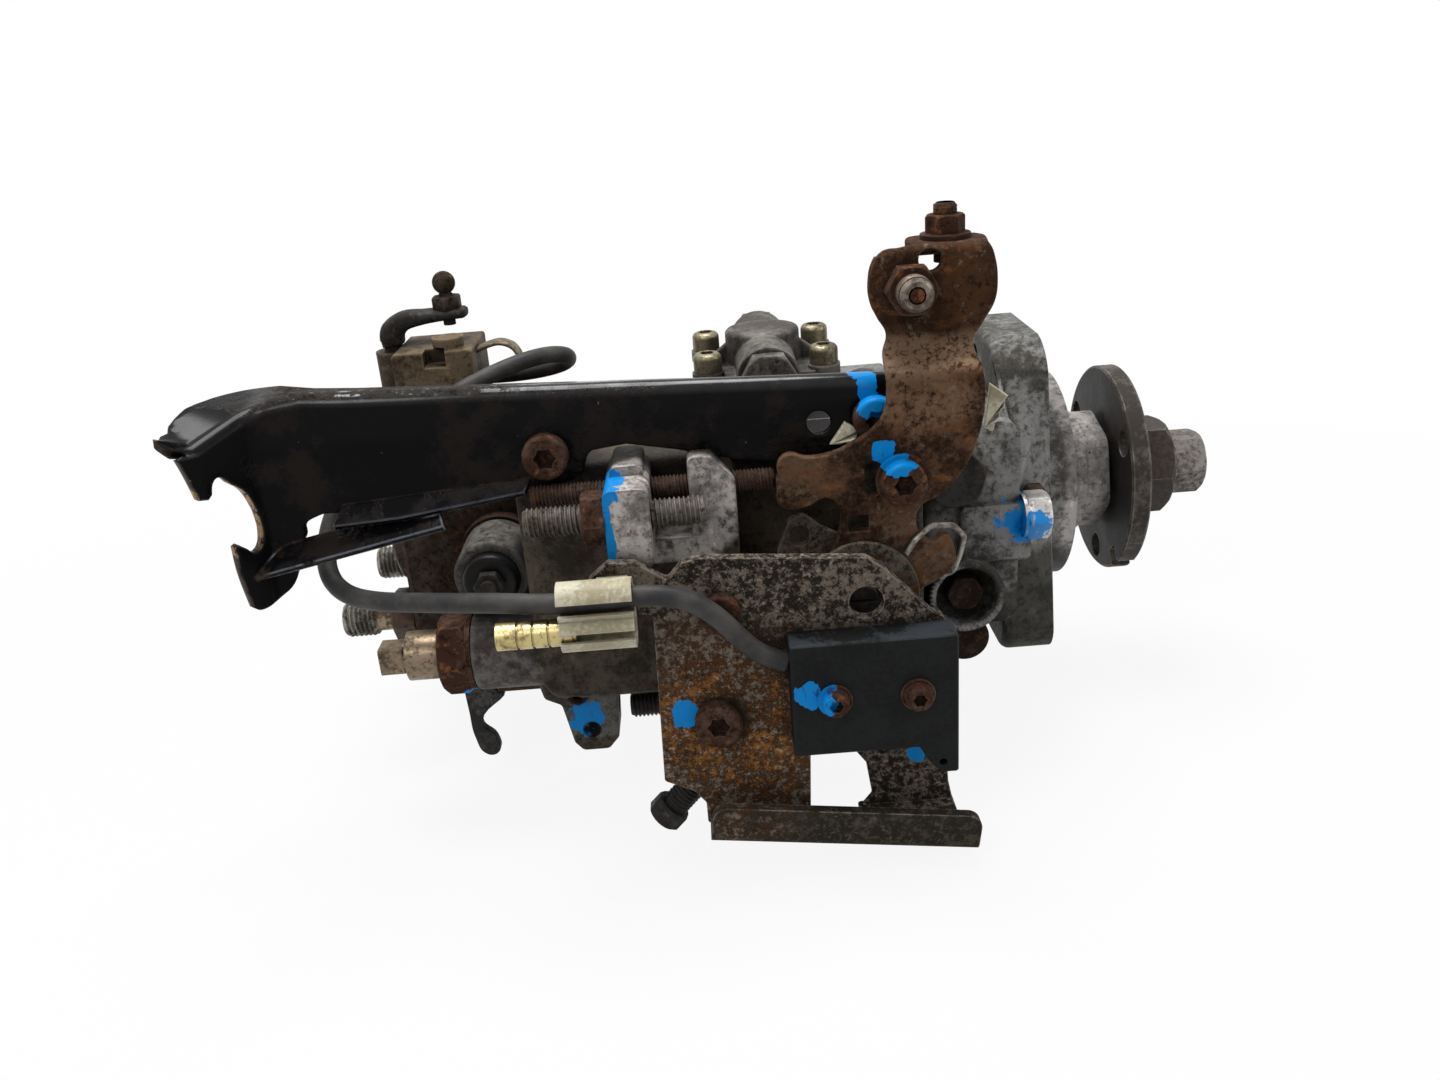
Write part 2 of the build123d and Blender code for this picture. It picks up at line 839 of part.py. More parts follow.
def governor_arm():
    """Forked rocker that carries the sleeve's movement up to the metering link."""
    place = Plane(origin=(arm_x - arm_thickness / 2, 0, 0), x_dir=(0, 1, 0), z_dir=(1, 0, 0))
    body = slab(place, rectangle(arm_tip_y, 0, -arm_half_width, arm_half_width), 0, arm_thickness, 3.0)
    body -= rod(axis, shaft_radius + 1.0, arm_x - 3, arm_x + 3)
    body -= slab(place, rectangle(0, 12, -shaft_radius - 1.0, shaft_radius + 1.0), -1, arm_thickness + 1)
    body += rod(upward(arm_x, arm_pivot_y, 0), arm_pivot_radius + 2.0, -arm_half_width, arm_half_width)
    body -= rod(upward(arm_x, arm_pivot_y, 0), arm_pivot_radius + running_gap, -20, 20)
    return body - rod(along_x(0, link_y, link_z), link_radius + working_gap, arm_x - 3, arm_x + 3)


def arm_pin():
    """Pivot pin of the governor arm, held at both ends in the window's walls."""
    return rod(upward(arm_x, arm_pivot_y, 0), arm_pivot_radius, -window_half, window_half)


def metering_valve():
    """Fuel metering valve: a rod down into the head, with its small crank in the cover."""
    crank_rear = -link_y + link_radius + working_gap
    place = to_front(metering_x, 0, 0)
    stem = rod(place, metering_radius - 0.5, 20, crank_rear + 2)
    return stem + slab(place, rectangle(-3.0, 3.0, -3.0, link_z + 3.0), crank_rear, crank_rear + 2.0, 2.5)


def metering_link():
    """Wire link from the governor arm to a pin on the metering valve's crank."""
    end = arm_x + arm_thickness / 2 + 1.0
    body = rod(along_x(0, link_y, link_z), link_radius, metering_x - link_radius, end)
    pin_start = -link_y - link_radius
    return body + rod(to_front(metering_x, 0, link_z), link_radius, pin_start, -link_y + link_radius + working_gap - 0.05)


def governor_spring():
    """Spring between the throttle spindle's crank and the governor arm."""
    start = throttle_axis_x + 2.6
    end = arm_x - arm_thickness / 2
    return coil(along_x(start, crank_y, governor_spring_z), 3.0, 0.5, 4, end - start - 0.55)


def rotor():
    """Distributor rotor: large end with the plunger bore, then the long lapped stem."""
    head_front = cam_centre_x + cam_width / 2 + 0.5
    body = rod(axis, rotor_head_radius, cam_centre_x - cam_width / 2 - 1.5, head_front)
    body += rod(axis, rotor_radius, rotor_rear, cam_centre_x)
    body += slab(axis, rectangle(-tang_width / 2, tang_width / 2, -7.5, 7.5), head_front - 1, head_front + tang_length)
    body -= rod(upward(cam_centre_x, 0, 0), plunger_radius + running_gap, -20, 20)
    body -= slab(
        axis,
        rectangle(-blade_thickness / 2 - running_gap, blade_thickness / 2 + running_gap, -20, 20),
        rotor_rear - 1,
        rotor_rear + liner_length,
    )
    return body


def plungers():
    """The two opposed pumping plungers."""
    outer = rotor_head_radius + 0.3
    place = upward(cam_centre_x, 0, 0)
    return [rod(place, plunger_radius, plunger_inner, outer), rod(place, plunger_radius, -outer, -plunger_inner)]


def roller_shoes():
    """Two shoes in the carrier's slots, pushed in by the cam's crests, each with its roller."""
    roller_z = cam_base_radius - cam_lift - roller_gap - roller_radius
    low = rotor_head_radius + working_gap + 0.2
    pieces = []
    for turn in (0, 180):
        shoe = Pos(cam_centre_x, 0, (low + roller_z) / 2) * Box(shoe_length, shoe_width, roller_z - low)
        shoe -= rod(along_x(0, 0, roller_z), roller_radius + running_gap, cam_centre_x - 20, cam_centre_x + 20)
        roller = rod(along_x(0, 0, roller_z), roller_radius, cam_centre_x - shoe_length / 2, cam_centre_x + shoe_length / 2)
        for piece in (shoe, roller):
            pieces.append(Rot(turn, 0, 0) * piece)
    return pieces


def cam_ring():
    """Internal cam: round outside, lobed inside, with the ball peg that the advance piston turns."""
    body = rod(axis, cam_radius, cam_centre_x - cam_width / 2, cam_centre_x + cam_width / 2)
    points = []
    steps = 12 * cam_lobe_count
    for k in range(steps):
        angle = 2 * pi * k / steps
        reach = cam_base_radius - cam_lift * (1 + cos(cam_lobe_count * angle)) / 2
        points.append((reach * cos(angle), reach * sin(angle)))
    inside = make_face(Spline(*points, periodic=True))
    body -= axis * Pos(0, 0, cam_centre_x - 20) * extrude(inside, 40)
    peg = rod(upward(cam_centre_x, 0, 0), peg_radius, cam_radius - 3, advance_axis_z)
    return body + peg + Pos(cam_centre_x, 0, advance_axis_z) * Sphere(peg_ball_radius)


def hydraulic_head():
    """Steel head: spigot in the barrel, square end with four delivery bosses."""
    body = rod(axis, head_spigot_radius, barrel_rear - 1, cam_bay_rear - 0.5)
    half = head_half_width
    body += slab(axis, rectangle(-half, half, -half, half), head_rear, barrel_rear, head_corner)
    body = chamfer(body.faces().sort_by(Axis.X)[0].edges(), 1.5)
    solenoid_seat = to_front(solenoid_x, 0, solenoid_z)
    body += rod(solenoid_seat, solenoid_radius + 1.0, 20, half + 4.0)
    boss_start = stop_lever_x + sheet_thickness + 1
    boss_end = cover_left - 1.0
    body += rod(along_x(0, stop_lever_y, stop_lever_z), stop_boss_radius, boss_start, boss_end)
    web = [(stop_lever_y - 5, stop_lever_z + 5), (stop_lever_y + 5, stop_lever_z - 5), (-25, -34), (-34, -25)]
    body += slab(axis, web, boss_start, boss_end)
    body += slab(to_front(0, 0, 0), rectangle(valve_left + 3, valve_right - 3, half - 4, valve_top - 18), -14, 10, 2.0)
    body -= rod(axis, rotor_radius + running_gap, head_rear - 1, cam_bay_rear + 1)
    body -= rod(axis, liner_radius + location_gap, head_rear - 1, rotor_rear + liner_length)
    body -= rod(to_front(metering_x, 0, 0), metering_radius - 0.5 + running_gap, 19.5, 60)
    body -= rod(solenoid_seat, 4.0, 26, 50)
    body -= rod(along_x(0, stop_lever_y, stop_lever_z), stop_shaft_radius + running_gap, stop_lever_x, boss_end + 1)
    for y, z in union_places:
        body -= rod(along_x(0, y, z), union_bore_radius, head_rear - 1, head_rear + 20)
    for y in (-8.0, 10.0):
        body -= rod(upward(valve_right - 10, y, 0), 2.5, valve_top - 26, valve_top)
    return body


def delivery_unions():
    """Four unions for the injector pipes, each a hexagon, a neck and a threaded nipple."""
    pieces = []
    for y, z in union_places:
        place = Plane(origin=(head_rear, y, z), x_dir=(0, 1, 0), z_dir=(-1, 0, 0))
        body = hex_bar(place, union_hex_flats, 0, union_hex_length)
        neck_end = union_hex_length + union_neck_length
        body += rod(place, union_neck_radius, union_hex_length - 1, neck_end + 1)
        thread = rod(place, union_thread_radius, neck_end, neck_end + union_thread_length)
        body += chamfer(thread.edges().filter_by(GeomType.CIRCLE), 0.8)
        end = neck_end + union_thread_length
        body -= rod(place, union_bore_radius, -1, end + 1)
        body -= place * Pos(0, 0, end - 1.2) * Cone(union_bore_radius, union_bore_radius + 2.6, 2.6)
        pieces.append(body)
    return pieces


def transfer_liner():
    """Eccentric ring of the transfer pump."""
    body = rod(axis, liner_radius, rotor_rear, rotor_rear + liner_length)
    return body - rod(along_x(0, liner_offset, 0), liner_bore_radius, rotor_rear - 1, rotor_rear + liner_length + 1)


def transfer_blades():
    """Two sliding blades in the rotor's slot, drawn in clear of the liner."""
    start = rotor_rear + 0.2
    end = rotor_rear + liner_length - 0.4
    half = blade_thickness / 2
    return [
        slab(axis, rectangle(-half, half, 0.4, blade_reach), start, end),
        slab(axis, rectangle(-half, half, -blade_reach, -0.4), start, end),
    ]


def end_plate():
    """End plate of the transfer pump, with the threaded fuel inlet."""
    body = rod(axis, end_plate_radius, head_rear - end_plate_thickness, head_rear)
    body = chamfer(body.faces().sort_by(Axis.X)[0].edges(), 1.0)
    body += rod(axis, liner_radius - 0.3, head_rear - 1, rotor_rear)
    body += rod(axis, inlet_radius, head_rear - end_plate_thickness - inlet_length, head_rear - 1)
    return body - rod(axis, inlet_bore_radius, head_rear - 40, rotor_rear - 4)


def advance_housing():
    """Cast advance unit: flange, cross cylinder for the piston and the round dome between two ribs."""
    flange = slab(
        upward(cam_centre_x, advance_centre_y, 0),
        rectangle(-advance_flange_half_x, advance_flange_half_x, -advance_flange_half_y, advance_flange_half_y),
        advance_flange_bottom,
        advance_flange_top,
        5.0,
    )
    cylinder = to_front(cam_centre_x, 0, advance_axis_z)
    outer = advance_piston_radius + advance_wall
    body = flange + rod(cylinder, outer, -advance_centre_y - advance_half_length, -advance_centre_y + advance_half_length)
    body -= Pos(cam_centre_x, 0, advance_flange_bottom - 20) * Box(90, 90, 40)
    dome = rod(upward(cam_centre_x, advance_centre_y, 0), advance_dome_radius, advance_flange_bottom + 1, advance_dome_top)
    body += fillet(dome.edges().filter_by(GeomType.CIRCLE).sort_by(Axis.Z)[-1], 1.6)
    for side in (-1, 1):
        rib = slab(
            to_front(cam_centre_x, advance_centre_y, 0),
            [
                (side * (advance_dome_radius - 2), advance_dome_top - 3),
                (side * (cap_screw_x + 1), advance_flange_top + 1),
                (side * (cap_screw_x + 1), advance_flange_top - 2),
                (side * (advance_dome_radius - 2), advance_flange_top - 2),
            ],
            -1.6,
            1.6,
        )
        body += rib
    for x, y in cap_screw_places:
        body += rod(upward(x, y, 0), cap_screw_head_radius + 0.6, advance_flange_top - 2, cap_screw_seat)
    for x, y in cap_screw_places:
        body -= rod(upward(x, y, 0), cap_screw_radius + screw_gap, advance_flange_bottom - 1, cap_screw_seat + 1)
    body -= rod(cylinder, advance_piston_radius + running_gap, -80, 80)
    slot = slab(
        upward(cam_centre_x, 0, 0),
        rectangle(-peg_ball_radius - 1, peg_ball_radius + 1, -advance_travel - 6, advance_travel + 6),
        advance_flange_bottom - 1,
        advance_axis_z,
    )
    return body - slot


def advance_plugs():
    """Screwed plugs that close both ends of the advance cylinder."""
    pieces = []
    for side in (-1, 1):
        place = Plane(
            origin=(cam_centre_x, advance_centre_y + side * advance_half_length, advance_axis_z),
            x_dir=(1, 0, 0),
            z_dir=(0, side, 0),
        )
        body = hex_bar(place, 2 * (advance_piston_radius + 1.5), 0, 5.0)
        pieces.append(body + rod(place, advance_piston_radius, -5.0, 1.0))
    return pieces


def advance_piston():
    """Piston across the cam box, with a cross bore for the cam ring's ball peg."""
    cylinder = to_front(cam_centre_x, 0, advance_axis_z)
    half = advance_piston_length / 2
    body = rod(cylinder, advance_piston_radius, -half, half)
    body -= rod(upward(cam_centre_x, 0, 0), peg_ball_radius + running_gap, advance_axis_z - 10, advance_axis_z + 5.5)
    return body


def advance_spring():
    """Spring that holds the piston against the retarded end."""
    start = advance_piston_length / 2
    end = advance_half_length - advance_centre_y - 5.0
    wire = 0.8
    radius = advance_piston_radius - wire - 1.0
    return coil(to_front(cam_centre_x, 0, advance_axis_z) * Pos(0, 0, start + wire), radius, wire, 5, end - start - 2 * wire)


def advance_cap_screws():
    """Socket cap screws of the advance unit."""
    pieces = []
    for x, y in cap_screw_places:
        place = upward(x, y, cap_screw_seat)
        body = screw(place, cap_screw_head_radius, cap_screw_head, cap_screw_radius, cap_screw_length)
        body -= place * Pos(0, 0, cap_screw_head - 2.8) * extrude(RegularPolygon(2.4, 6), 4)
        pieces.append(body)
    return pieces


def throttle_shaft():
    """Throttle spindle: slotted front end, small inner crank under the cover."""
    place = to_front(throttle_axis_x, 0, throttle_axis_z)
    body = rod(place, throttle_shaft_radius, -throttle_shaft_rear, -throttle_shaft_front)
    body -= place * Pos(0, 0, -throttle_shaft_front) * Box(10, 1.0, 2.4)
    low = governor_spring_z - throttle_axis_z - 4.0
    return body + slab(place, rectangle(-2.0, 2.0, low, 3.5), -throttle_shaft_rear, -throttle_shaft_rear + 3.0, 1.5)


def throttle_lever():
    """Pressed steel lever: stop toe on the left, spring hook on the right, joggled top with a bent tab."""
    front = throttle_lever_front
    back = throttle_lever_front + sheet_thickness
    step = throttle_joggle
    section = [
        (front, throttle_axis_z - 14),
        (back, throttle_axis_z - 14),
        (back, throttle_joggle_low + 0.8),
        (back + step, throttle_joggle_high + 0.8),
        (back + step, throttle_tab_z - sheet_thickness),
        (back + step + throttle_tab_reach, throttle_tab_z - sheet_thickness),
        (back + step + throttle_tab_reach, throttle_tab_z),
        (front + step, throttle_tab_z),
        (front + step, throttle_joggle_high),
        (front, throttle_joggle_low),
    ]
    sheet = slab(along_x(throttle_axis_x, 0, 0), section, -30, 50)
    bend = sheet.edges().filter_by(Axis.X).group_by(Axis.Z)[-1].sort_by(Axis.Y)[0]
    sheet = fillet(bend, 2.8)
    place = to_front(throttle_axis_x, 0, throttle_axis_z)
    low = slab(place, throttle_outline_low, 60, 100, 1.2)
    high = slab(place, throttle_outline_high, 40, 100, 1.2)
    body = sheet & (low + high)
    toe = slab(place, rectangle(-21.3, -18.3, 28.0, toe_top), -idle_screw_y - idle_screw_radius, -back + 0.1)
    body += toe
    body -= rod(place, throttle_shaft_radius + location_gap, 60, 100)
    body -= rod(to_front(throttle_axis_x + 21.0, 0, throttle_axis_z + 87.0), 3.2, 76, 100)
    body -= slab(place, rectangle(2.0, 7.0, 27.5, 36.5), 60, 100, 2.2)
    body -= slab(place, rectangle(-3.0, 3.0, 17.0, 22.0), 60, 100, 0.5)
    for x, z in ((lever_screw_x, lever_screw_z), (lever_stud_x, lever_stud_z)):
        body -= rod(to_front(x, 0, z), 3.0 + location_gap, 60, 100)
    body -= rod(upward(tab_stud_x, tab_stud_y, 0), 3.0 + location_gap, 80, 100)
    return body


def throttle_screws():
    """Fasteners carried by the lever: lobed screw with its washer, stud with nut, tab stud with nut."""
    face = to_front(lever_screw_x, throttle_lever_front, lever_screw_z)
    washer = tube(face, 7.2, 3.0 + location_gap, 0, 1.4)
    head = screw(to_front(lever_screw_x, throttle_lever_front - 1.4, lever_screw_z), 6.0, 4.2, 3.0, 6.4, 3.2)
    high = throttle_lever_front + throttle_joggle
    place = to_front(lever_stud_x, high, lever_stud_z)
    stud = rod(place, 3.0, -sheet_thickness - 4.0, 11.0) + rod(place, 4.5, 5.5, 10.0)
    stud = chamfer(stud.edges().filter_by(GeomType.CIRCLE).sort_by(Axis.Y)[0], 0.8)
    nut = hex_bar(place, 12.0, 0, 5.5) - rod(place, 3.0, -1, 6)
    back_nut = hex_bar(place, 10.0, -sheet_thickness - 4.0, -sheet_thickness) - rod(place, 3.0, -20, 6)
    tab = upward(tab_stud_x, tab_stud_y, throttle_tab_z)
    tab_stud = rod(tab, 3.0, -sheet_thickness - 3.0, 9.0)
    tab_stud = chamfer(tab_stud.edges().filter_by(GeomType.CIRCLE).sort_by(Axis.Z)[-1], 0.8)
    flange = rod(tab, 6.5, 0, 1.3) - rod(tab, 3.0, -1, 8)
    tab_nut = hex_bar(tab, 9.0, 1.0, 6.0) - rod(tab, 3.0, -1, 8)
    return [washer, head, stud, nut, back_nut, tab_stud, flange + tab_nut]


def spring_plate():
    """Domed plate on the spindle's front end that keeps the lever on."""
    place = to_front(throttle_axis_x, spring_plate_front, throttle_axis_z)
    body = rod(place, spring_plate_radius, -spring_plate_thickness, 0)
    body += rod(place, 7.0, spring_plate_front - throttle_lever_front, 0)
    return body - rod(place, throttle_shaft_radius + location_gap, -10, 10)


def throttle_spring():
    """Return spring behind the lever: coils round the bearing and one leg hooked on the lever."""
    wire = 0.8
    radius = throttle_boss_radius + wire + working_gap
    place = to_front(throttle_axis_x, 0, throttle_axis_z)
    start = -cover_face_y + wire
    pitch = 1.9 * wire
    depth = start + 2 * pitch
    body = place * Pos(0, 0, start) * Torus(radius, wire)
    for turn in (1, 2):
        body += place * Pos(0, 0, start + turn * pitch) * Torus(radius, wire)
    hook = -throttle_lever_front + wire + 0.3
    route = [
        (radius, 0, depth),
        (28.0, -4.0, depth),
        (29.5, 4.2, depth + 4),
        (29.2, 12.3, hook - 4),
        (25.7, 16.4, hook - 2.5),
        (19.5, 17.0, hook - 1.5),
        (15.0, 14.0, hook),
        (12.5, 10.0, hook),
    ]
    path = FilletPolyline(*route, radius=corner_radii(route, False, 3.0))
    section = Plane(origin=path @ 0, z_dir=path % 0) * Circle(wire)
    return body + place * sweep(section, path)


def fast_idle_lever():
    """Plate lever behind the throttle lever, on the same spindle, with a round hole for its cable end."""
    place = to_front(throttle_axis_x, idle_lever_front + idle_lever_thickness, throttle_axis_z)
    outline = [(-12, -8), (-21.5, 7), (-22, 11), (-18.5, 20), (-14.5, 21.5), (-9, 17), (2, 11), (10, 6), (9, -6), (0, -11)]
    body = slab(place, outline, 0, idle_lever_thickness, 2.0)
    body -= rod(place, throttle_shaft_radius + running_gap, -5, 5)
    body -= slab(place, rectangle(-18.5, -13.0, 12.5, 18.5), -5, 5, 2.4)
    return body


def idle_screw():
    """Long adjusting screw that the lever's toe rests on."""
    place = along_x(0, idle_screw_y, idle_screw_z)
    body = rod(place, idle_screw_radius, idle_screw_left, idle_screw_right)
    body = chamfer(body.edges().filter_by(GeomType.CIRCLE), 0.6)
    return body - Pos(idle_screw_left, idle_screw_y, idle_screw_z) * Box(2.4, 1.0, 10)


def stop_screw():
    """Larger adjusting screw in the left lug."""
    place = along_x(0, stop_screw_y, stop_screw_z)
    body = rod(place, stop_screw_radius, stop_screw_left, stop_screw_right)
    body = chamfer(body.edges().filter_by(GeomType.CIRCLE), 0.8)
    return body - Pos(stop_screw_left, stop_screw_y, stop_screw_z) * Box(2.6, 1.2, 10)


def lock_nut():
    """Lock nut of the larger adjusting screw, against the left lug."""
    seat = lug_left_x - lug_left_width / 2
    place = along_x(0, stop_screw_y, stop_screw_z)
    return hex_bar(place, 13.0, seat - 6.0, seat) - rod(place, stop_screw_radius, seat - 10, seat + 1)


def cable_bracket():
    """Pressed bracket: web with a top flange, a tapering lower flange and a bent end plate with two notches."""
    front = bracket_front_y
    web_outline = [
        (bracket_right, 59.0),
        (bracket_right, 41.5),
        (-137.0, 44.5),
        (-141.0, 37.5),
        (-150.0, 35.5),
        (-218.0, 27.0),
        (bracket_bend_x, 30.0),
        (bracket_bend_x, 65.5),
        (-212.0, 66.5),
        (-200.0, 64.5),
    ]
    place = to_front(0, 0, 0)
    web = slab(place, web_outline, -front - bracket_thickness, -front, 1.0)
    top_outline = [
        (bracket_right, 59.0),
        (-200.0, 64.5),
        (-212.0, 66.5),
        (bracket_bend_x, 65.5),
        (bracket_bend_x, 65.5 - bracket_thickness),
        (-212.0, 66.5 - bracket_thickness),
        (-200.0, 64.5 - bracket_thickness),
        (bracket_right, 59.0 - bracket_thickness),
    ]
    top = slab(place, top_outline, -front - bracket_depth, -front)
    body = web + top
    lower = Plane(origin=(-150.0, front, 36.0), x_dir=(-1, 0, -0.07), z_dir=(-0.06, 0.9, -1))
    body += slab(lower, [(9, -2), (9, 9), (15, 13.5), (78, 23), (76, -2)], 0, bracket_thickness, 1.0)
    turn = radians(fork_angle)
    bend = Plane(
        origin=(bracket_bend_x, front, 0),
        x_dir=(-cos(turn), -sin(turn), 0),
        z_dir=(-sin(turn), cos(turn), 0),
    )
    fork_outline = [(-1.5, 9.0), (12.0, 8.5), (16.5, 25.0), (24.0, 52.0), (28.5, 66.0), (14.0, 68.0), (-1.5, 65.5)]
    fork = slab(bend, fork_outline, 0, bracket_thickness, 1.0)
    fork -= rod(bend * Pos(18.5, 37.0, 0), fork_notch_radius, -9, 9)
    fork -= rod(bend * Pos(25.5, 59.5, 0), 3.4, -9, 9)
    body += fork
    for x, z in (
        (bracket_screw_left_x, bracket_screw_left_z),
        (bracket_screw_right_x, bracket_screw_right_z),
        (-75.6, 47.0),
    ):
        body -= rod(to_front(x, 0, z), 3.0 + screw_gap, 60, 100)
    return body


def bracket_screws():
    """Two flanged screws with six-lobed sockets that hold the cable bracket."""
    pieces = []
    for x, z in (
        (bracket_screw_left_x, bracket_screw_left_z),
        (bracket_screw_right_x, bracket_screw_right_z),
    ):
        pieces.append(screw(to_front(x, bracket_front_y, z), 6.2, 4.2, 3.0, 14.0, 3.2))
    return pieces


def switch_bracket():
    """Flat bracket for the idle switch, with a hooked lip along its foot."""
    back = switch_plate_front + switch_plate_thickness
    place = to_front(0, back, 0)
    body = slab(place, switch_outline, 0, switch_plate_thickness, 1.2)
    front = switch_lip_front
    wall = switch_plate_thickness
    section = [
        (back, switch_lip_bottom + wall),
        (back, switch_lip_bottom),
        (front, switch_lip_bottom),
        (front, switch_lip_top),
        (front + wall, switch_lip_top),
        (front + wall, switch_lip_bottom + wall),
    ]
    lip = slab(along_x(0, 0, 0), section, switch_lip_left, switch_lip_right)
    lip = fillet(lip.edges().filter_by(Axis.X).group_by(Axis.Z)[0].sort_by(Axis.Y)[0], 2.6)
    corners = lip.edges().filter_by(Axis.Y).group_by(Axis.Z)[-1]
    lip = fillet(corners, 4.0)
    hinge = Pos(switch_lip_right, 0, switch_lip_bottom)
    body += hinge * Rot(0, switch_lip_tilt, 0) * hinge.inverse() * lip
    body -= rod(to_front(throttle_axis_x - 0.5, 0, throttle_axis_z + 3.4), 4.6, 90, 110)
    for x, z in ((pillar_low_x, pillar_low_z), (pillar_high_x, pillar_high_z)):
        body -= rod(to_front(x, 0, z), 3.0 + screw_gap, 90, 110)
    for x in switch_screw_x:
        body -= rod(to_front(x, 0, switch_screw_z), switch_screw_radius + screw_gap, 90, 110)
    return body


def switch_bracket_screws():
    """Screws of the switch bracket: a flanged six-lobed one below, a plain domed one above."""
    low = screw(to_front(pillar_low_x, switch_plate_front, pillar_low_z), 6.5, 4.2, 3.0, 14.0, 3.2)
    high = screw(to_front(pillar_high_x, switch_plate_front, pillar_high_z), 5.5, 3.4, 3.0, 14.0)
    return [low, high]


def rear_plate():
    """Stiffening plate behind the switch, with a foot bent towards the front."""
    back = switch_plate_front + switch_plate_thickness
    outline = [(-68.5, -46), (-67.0, -57), (-71.0, -62), (-44.0, -62), (-45.5, -54), (-48, -10), (-84, -10), (-84, -24)]
    place = to_front(0, back + 2.0, 0)
    body = slab(place, outline, 0, 2.0, 1.0)
    body += slab(place, rectangle(-71.0, -44.0, -62.0, -60.0), 0, 8.0, 0.8)
    for x in switch_screw_x:
        body -= rod(to_front(x, 0, switch_screw_z), switch_screw_radius + screw_gap, 90, 110)
    return body


def idle_switch():
    """Sealed switch body with an eyelet at its lower right corner."""
    back = switch_plate_front
    place = to_front(0, back, 0)
    outline = [
        (switch_left, switch_bottom),
        (-55.5, switch_bottom),
        (-53.0, -39.5),
        (-49.5, -43.4),
        (switch_right, -43.4),
        (switch_right, switch_top),
        (switch_left, switch_top),
    ]
    body = slab(place, outline, 0, switch_depth, 0.8)
    body = chamfer(body.faces().sort_by(Axis.Y)[0].edges(), 0.5)
    body -= rod(to_front(-49.2, 0, -40.0), 1.1, 100, 120)
    for x in switch_screw_x:
        body -= rod(to_front(x, 0, switch_screw_z), switch_screw_radius + screw_gap, 100, 120)
    return body


def switch_screws():
    """Two small screws with washers and rear nuts that hold the switch."""
    pieces = []
    front = switch_plate_front - switch_depth
    back = switch_plate_front + switch_plate_thickness + 2.0
    for x in switch_screw_x:
        place = to_front(x, front, switch_screw_z)
        washer = tube(place, 4.6, switch_screw_radius + location_gap, 0, 0.8)
        head = screw(to_front(x, front - 0.8, switch_screw_z), 3.5, 3.2, switch_screw_radius, 18.0, 2.0)
        nut_place = to_front(x, back, switch_screw_z)
        nut = hex_bar(nut_place, 7.0, -3.0, 0) - rod(nut_place, switch_screw_radius, -6, 1)
        pieces += [washer, head, nut]
    return pieces


def switch_cable():
    """Round lead from the switch to the connector, held all the way by the pump."""
    radii = corner_radii(cable_points, False, 1000.0)
    print("cable radii", [round(r) for r in radii])
    path = FilletPolyline(*cable_points, radius=radii)
    section = Plane(origin=path @ 0, z_dir=path % 0) * Circle(cable_radius)
    body = sweep(section, path)
    print("cable length", round(path.length, 1), "volume ratio", body.volume / (pi * cable_radius**2 * path.length))
    return body


def cable_clip():
    """Moulded clip: an open sleeve round the cable, and below it a second one for the spare terminal."""
    y = -111.8
    upper = along_x(0, y, 15.6)
    lower = along_x(0, y, terminal_z)
    body = tube(upper, cable_radius + clip_gap + clip_wall, cable_radius + clip_gap, clip_left, clip_right)
    body -= Pos((clip_left + clip_right) / 2, y - 4, 15.0) * Box(30, 6, 3.6)
    low = tube(lower, brass_radius + 0.3 + clip_wall, brass_radius + 0.3, clip_left, clip_right)
    low -= Pos((clip_left + clip_right) / 2, y - 5, terminal_z) * Box(30, 6, 2.5)
    back = Pos((clip_left + clip_right) / 2, y + 4.5, (15.6 + terminal_z) / 2) * Box(clip_right - clip_left, 3, 10)
    reach = switch_plate_front - (y + 5.5)
    tang = Pos(-133.0, switch_plate_front - reach / 2, 14.0) * Box(8, reach, 8)
    body += low + back + tang
    body -= rod(upper, cable_radius + clip_gap, clip_left - 1, clip_right + 1)
    return body - rod(lower, brass_radius + 0.3, clip_left - 1, clip_right + 1)


def brass_terminal():
    """Grooved brass bullet terminal in the clip's lower sleeve."""
    place = along_x(0, -111.8, terminal_z)
    body = rod(place, brass_radius, -163.0, clip_left + 4)
    for x in (-157.5, -153.5, -149.5):
        body -= rod(place, 9, x - 0.3, x + 0.3) - rod(place, brass_radius - 0.4, x - 1, x + 1)
    return body + rod(place, brass_radius + 0.3, clip_left + 1, clip_left + 3)


def solenoid_body():
    """Shut-off solenoid screwed into the head."""
    place = to_front(solenoid_x, 0, solenoid_z)
    seat = head_half_width + 4.0
    body = rod(place, solenoid_radius, seat, -solenoid_front)
    body = fillet(body.edges().filter_by(GeomType.CIRCLE).sort_by(Axis.Y)[0], 1.5)
    body -= rod(place, boot_radius, -solenoid_front - 3.0, -solenoid_front + 1)
    return body + rod(place, 4.0, 27, seat + 1)


def solenoid_boot():
    """Rubber boot in the solenoid's mouth."""
    place = to_front(solenoid_x, 0, solenoid_z)
    body = rod(place, boot_radius - 0.1, -solenoid_front - 3.0, -boot_front)
    body = fillet(body.edges().filter_by(GeomType.CIRCLE).sort_by(Axis.Y)[0], 2.0)
    return body - rod(place, terminal_radius, 40, 80)


def solenoid_terminal():
    """Terminal stud with its nut."""
    place = to_front(solenoid_x, 0, solenoid_z)
    stud = rod(place, terminal_radius, -solenoid_front - 3.0, -terminal_front)
    nut = hex_bar(place, 8.0, -boot_front, -boot_front + 3.2) - rod(place, terminal_radius, 50, 90)
    return [stud, nut]


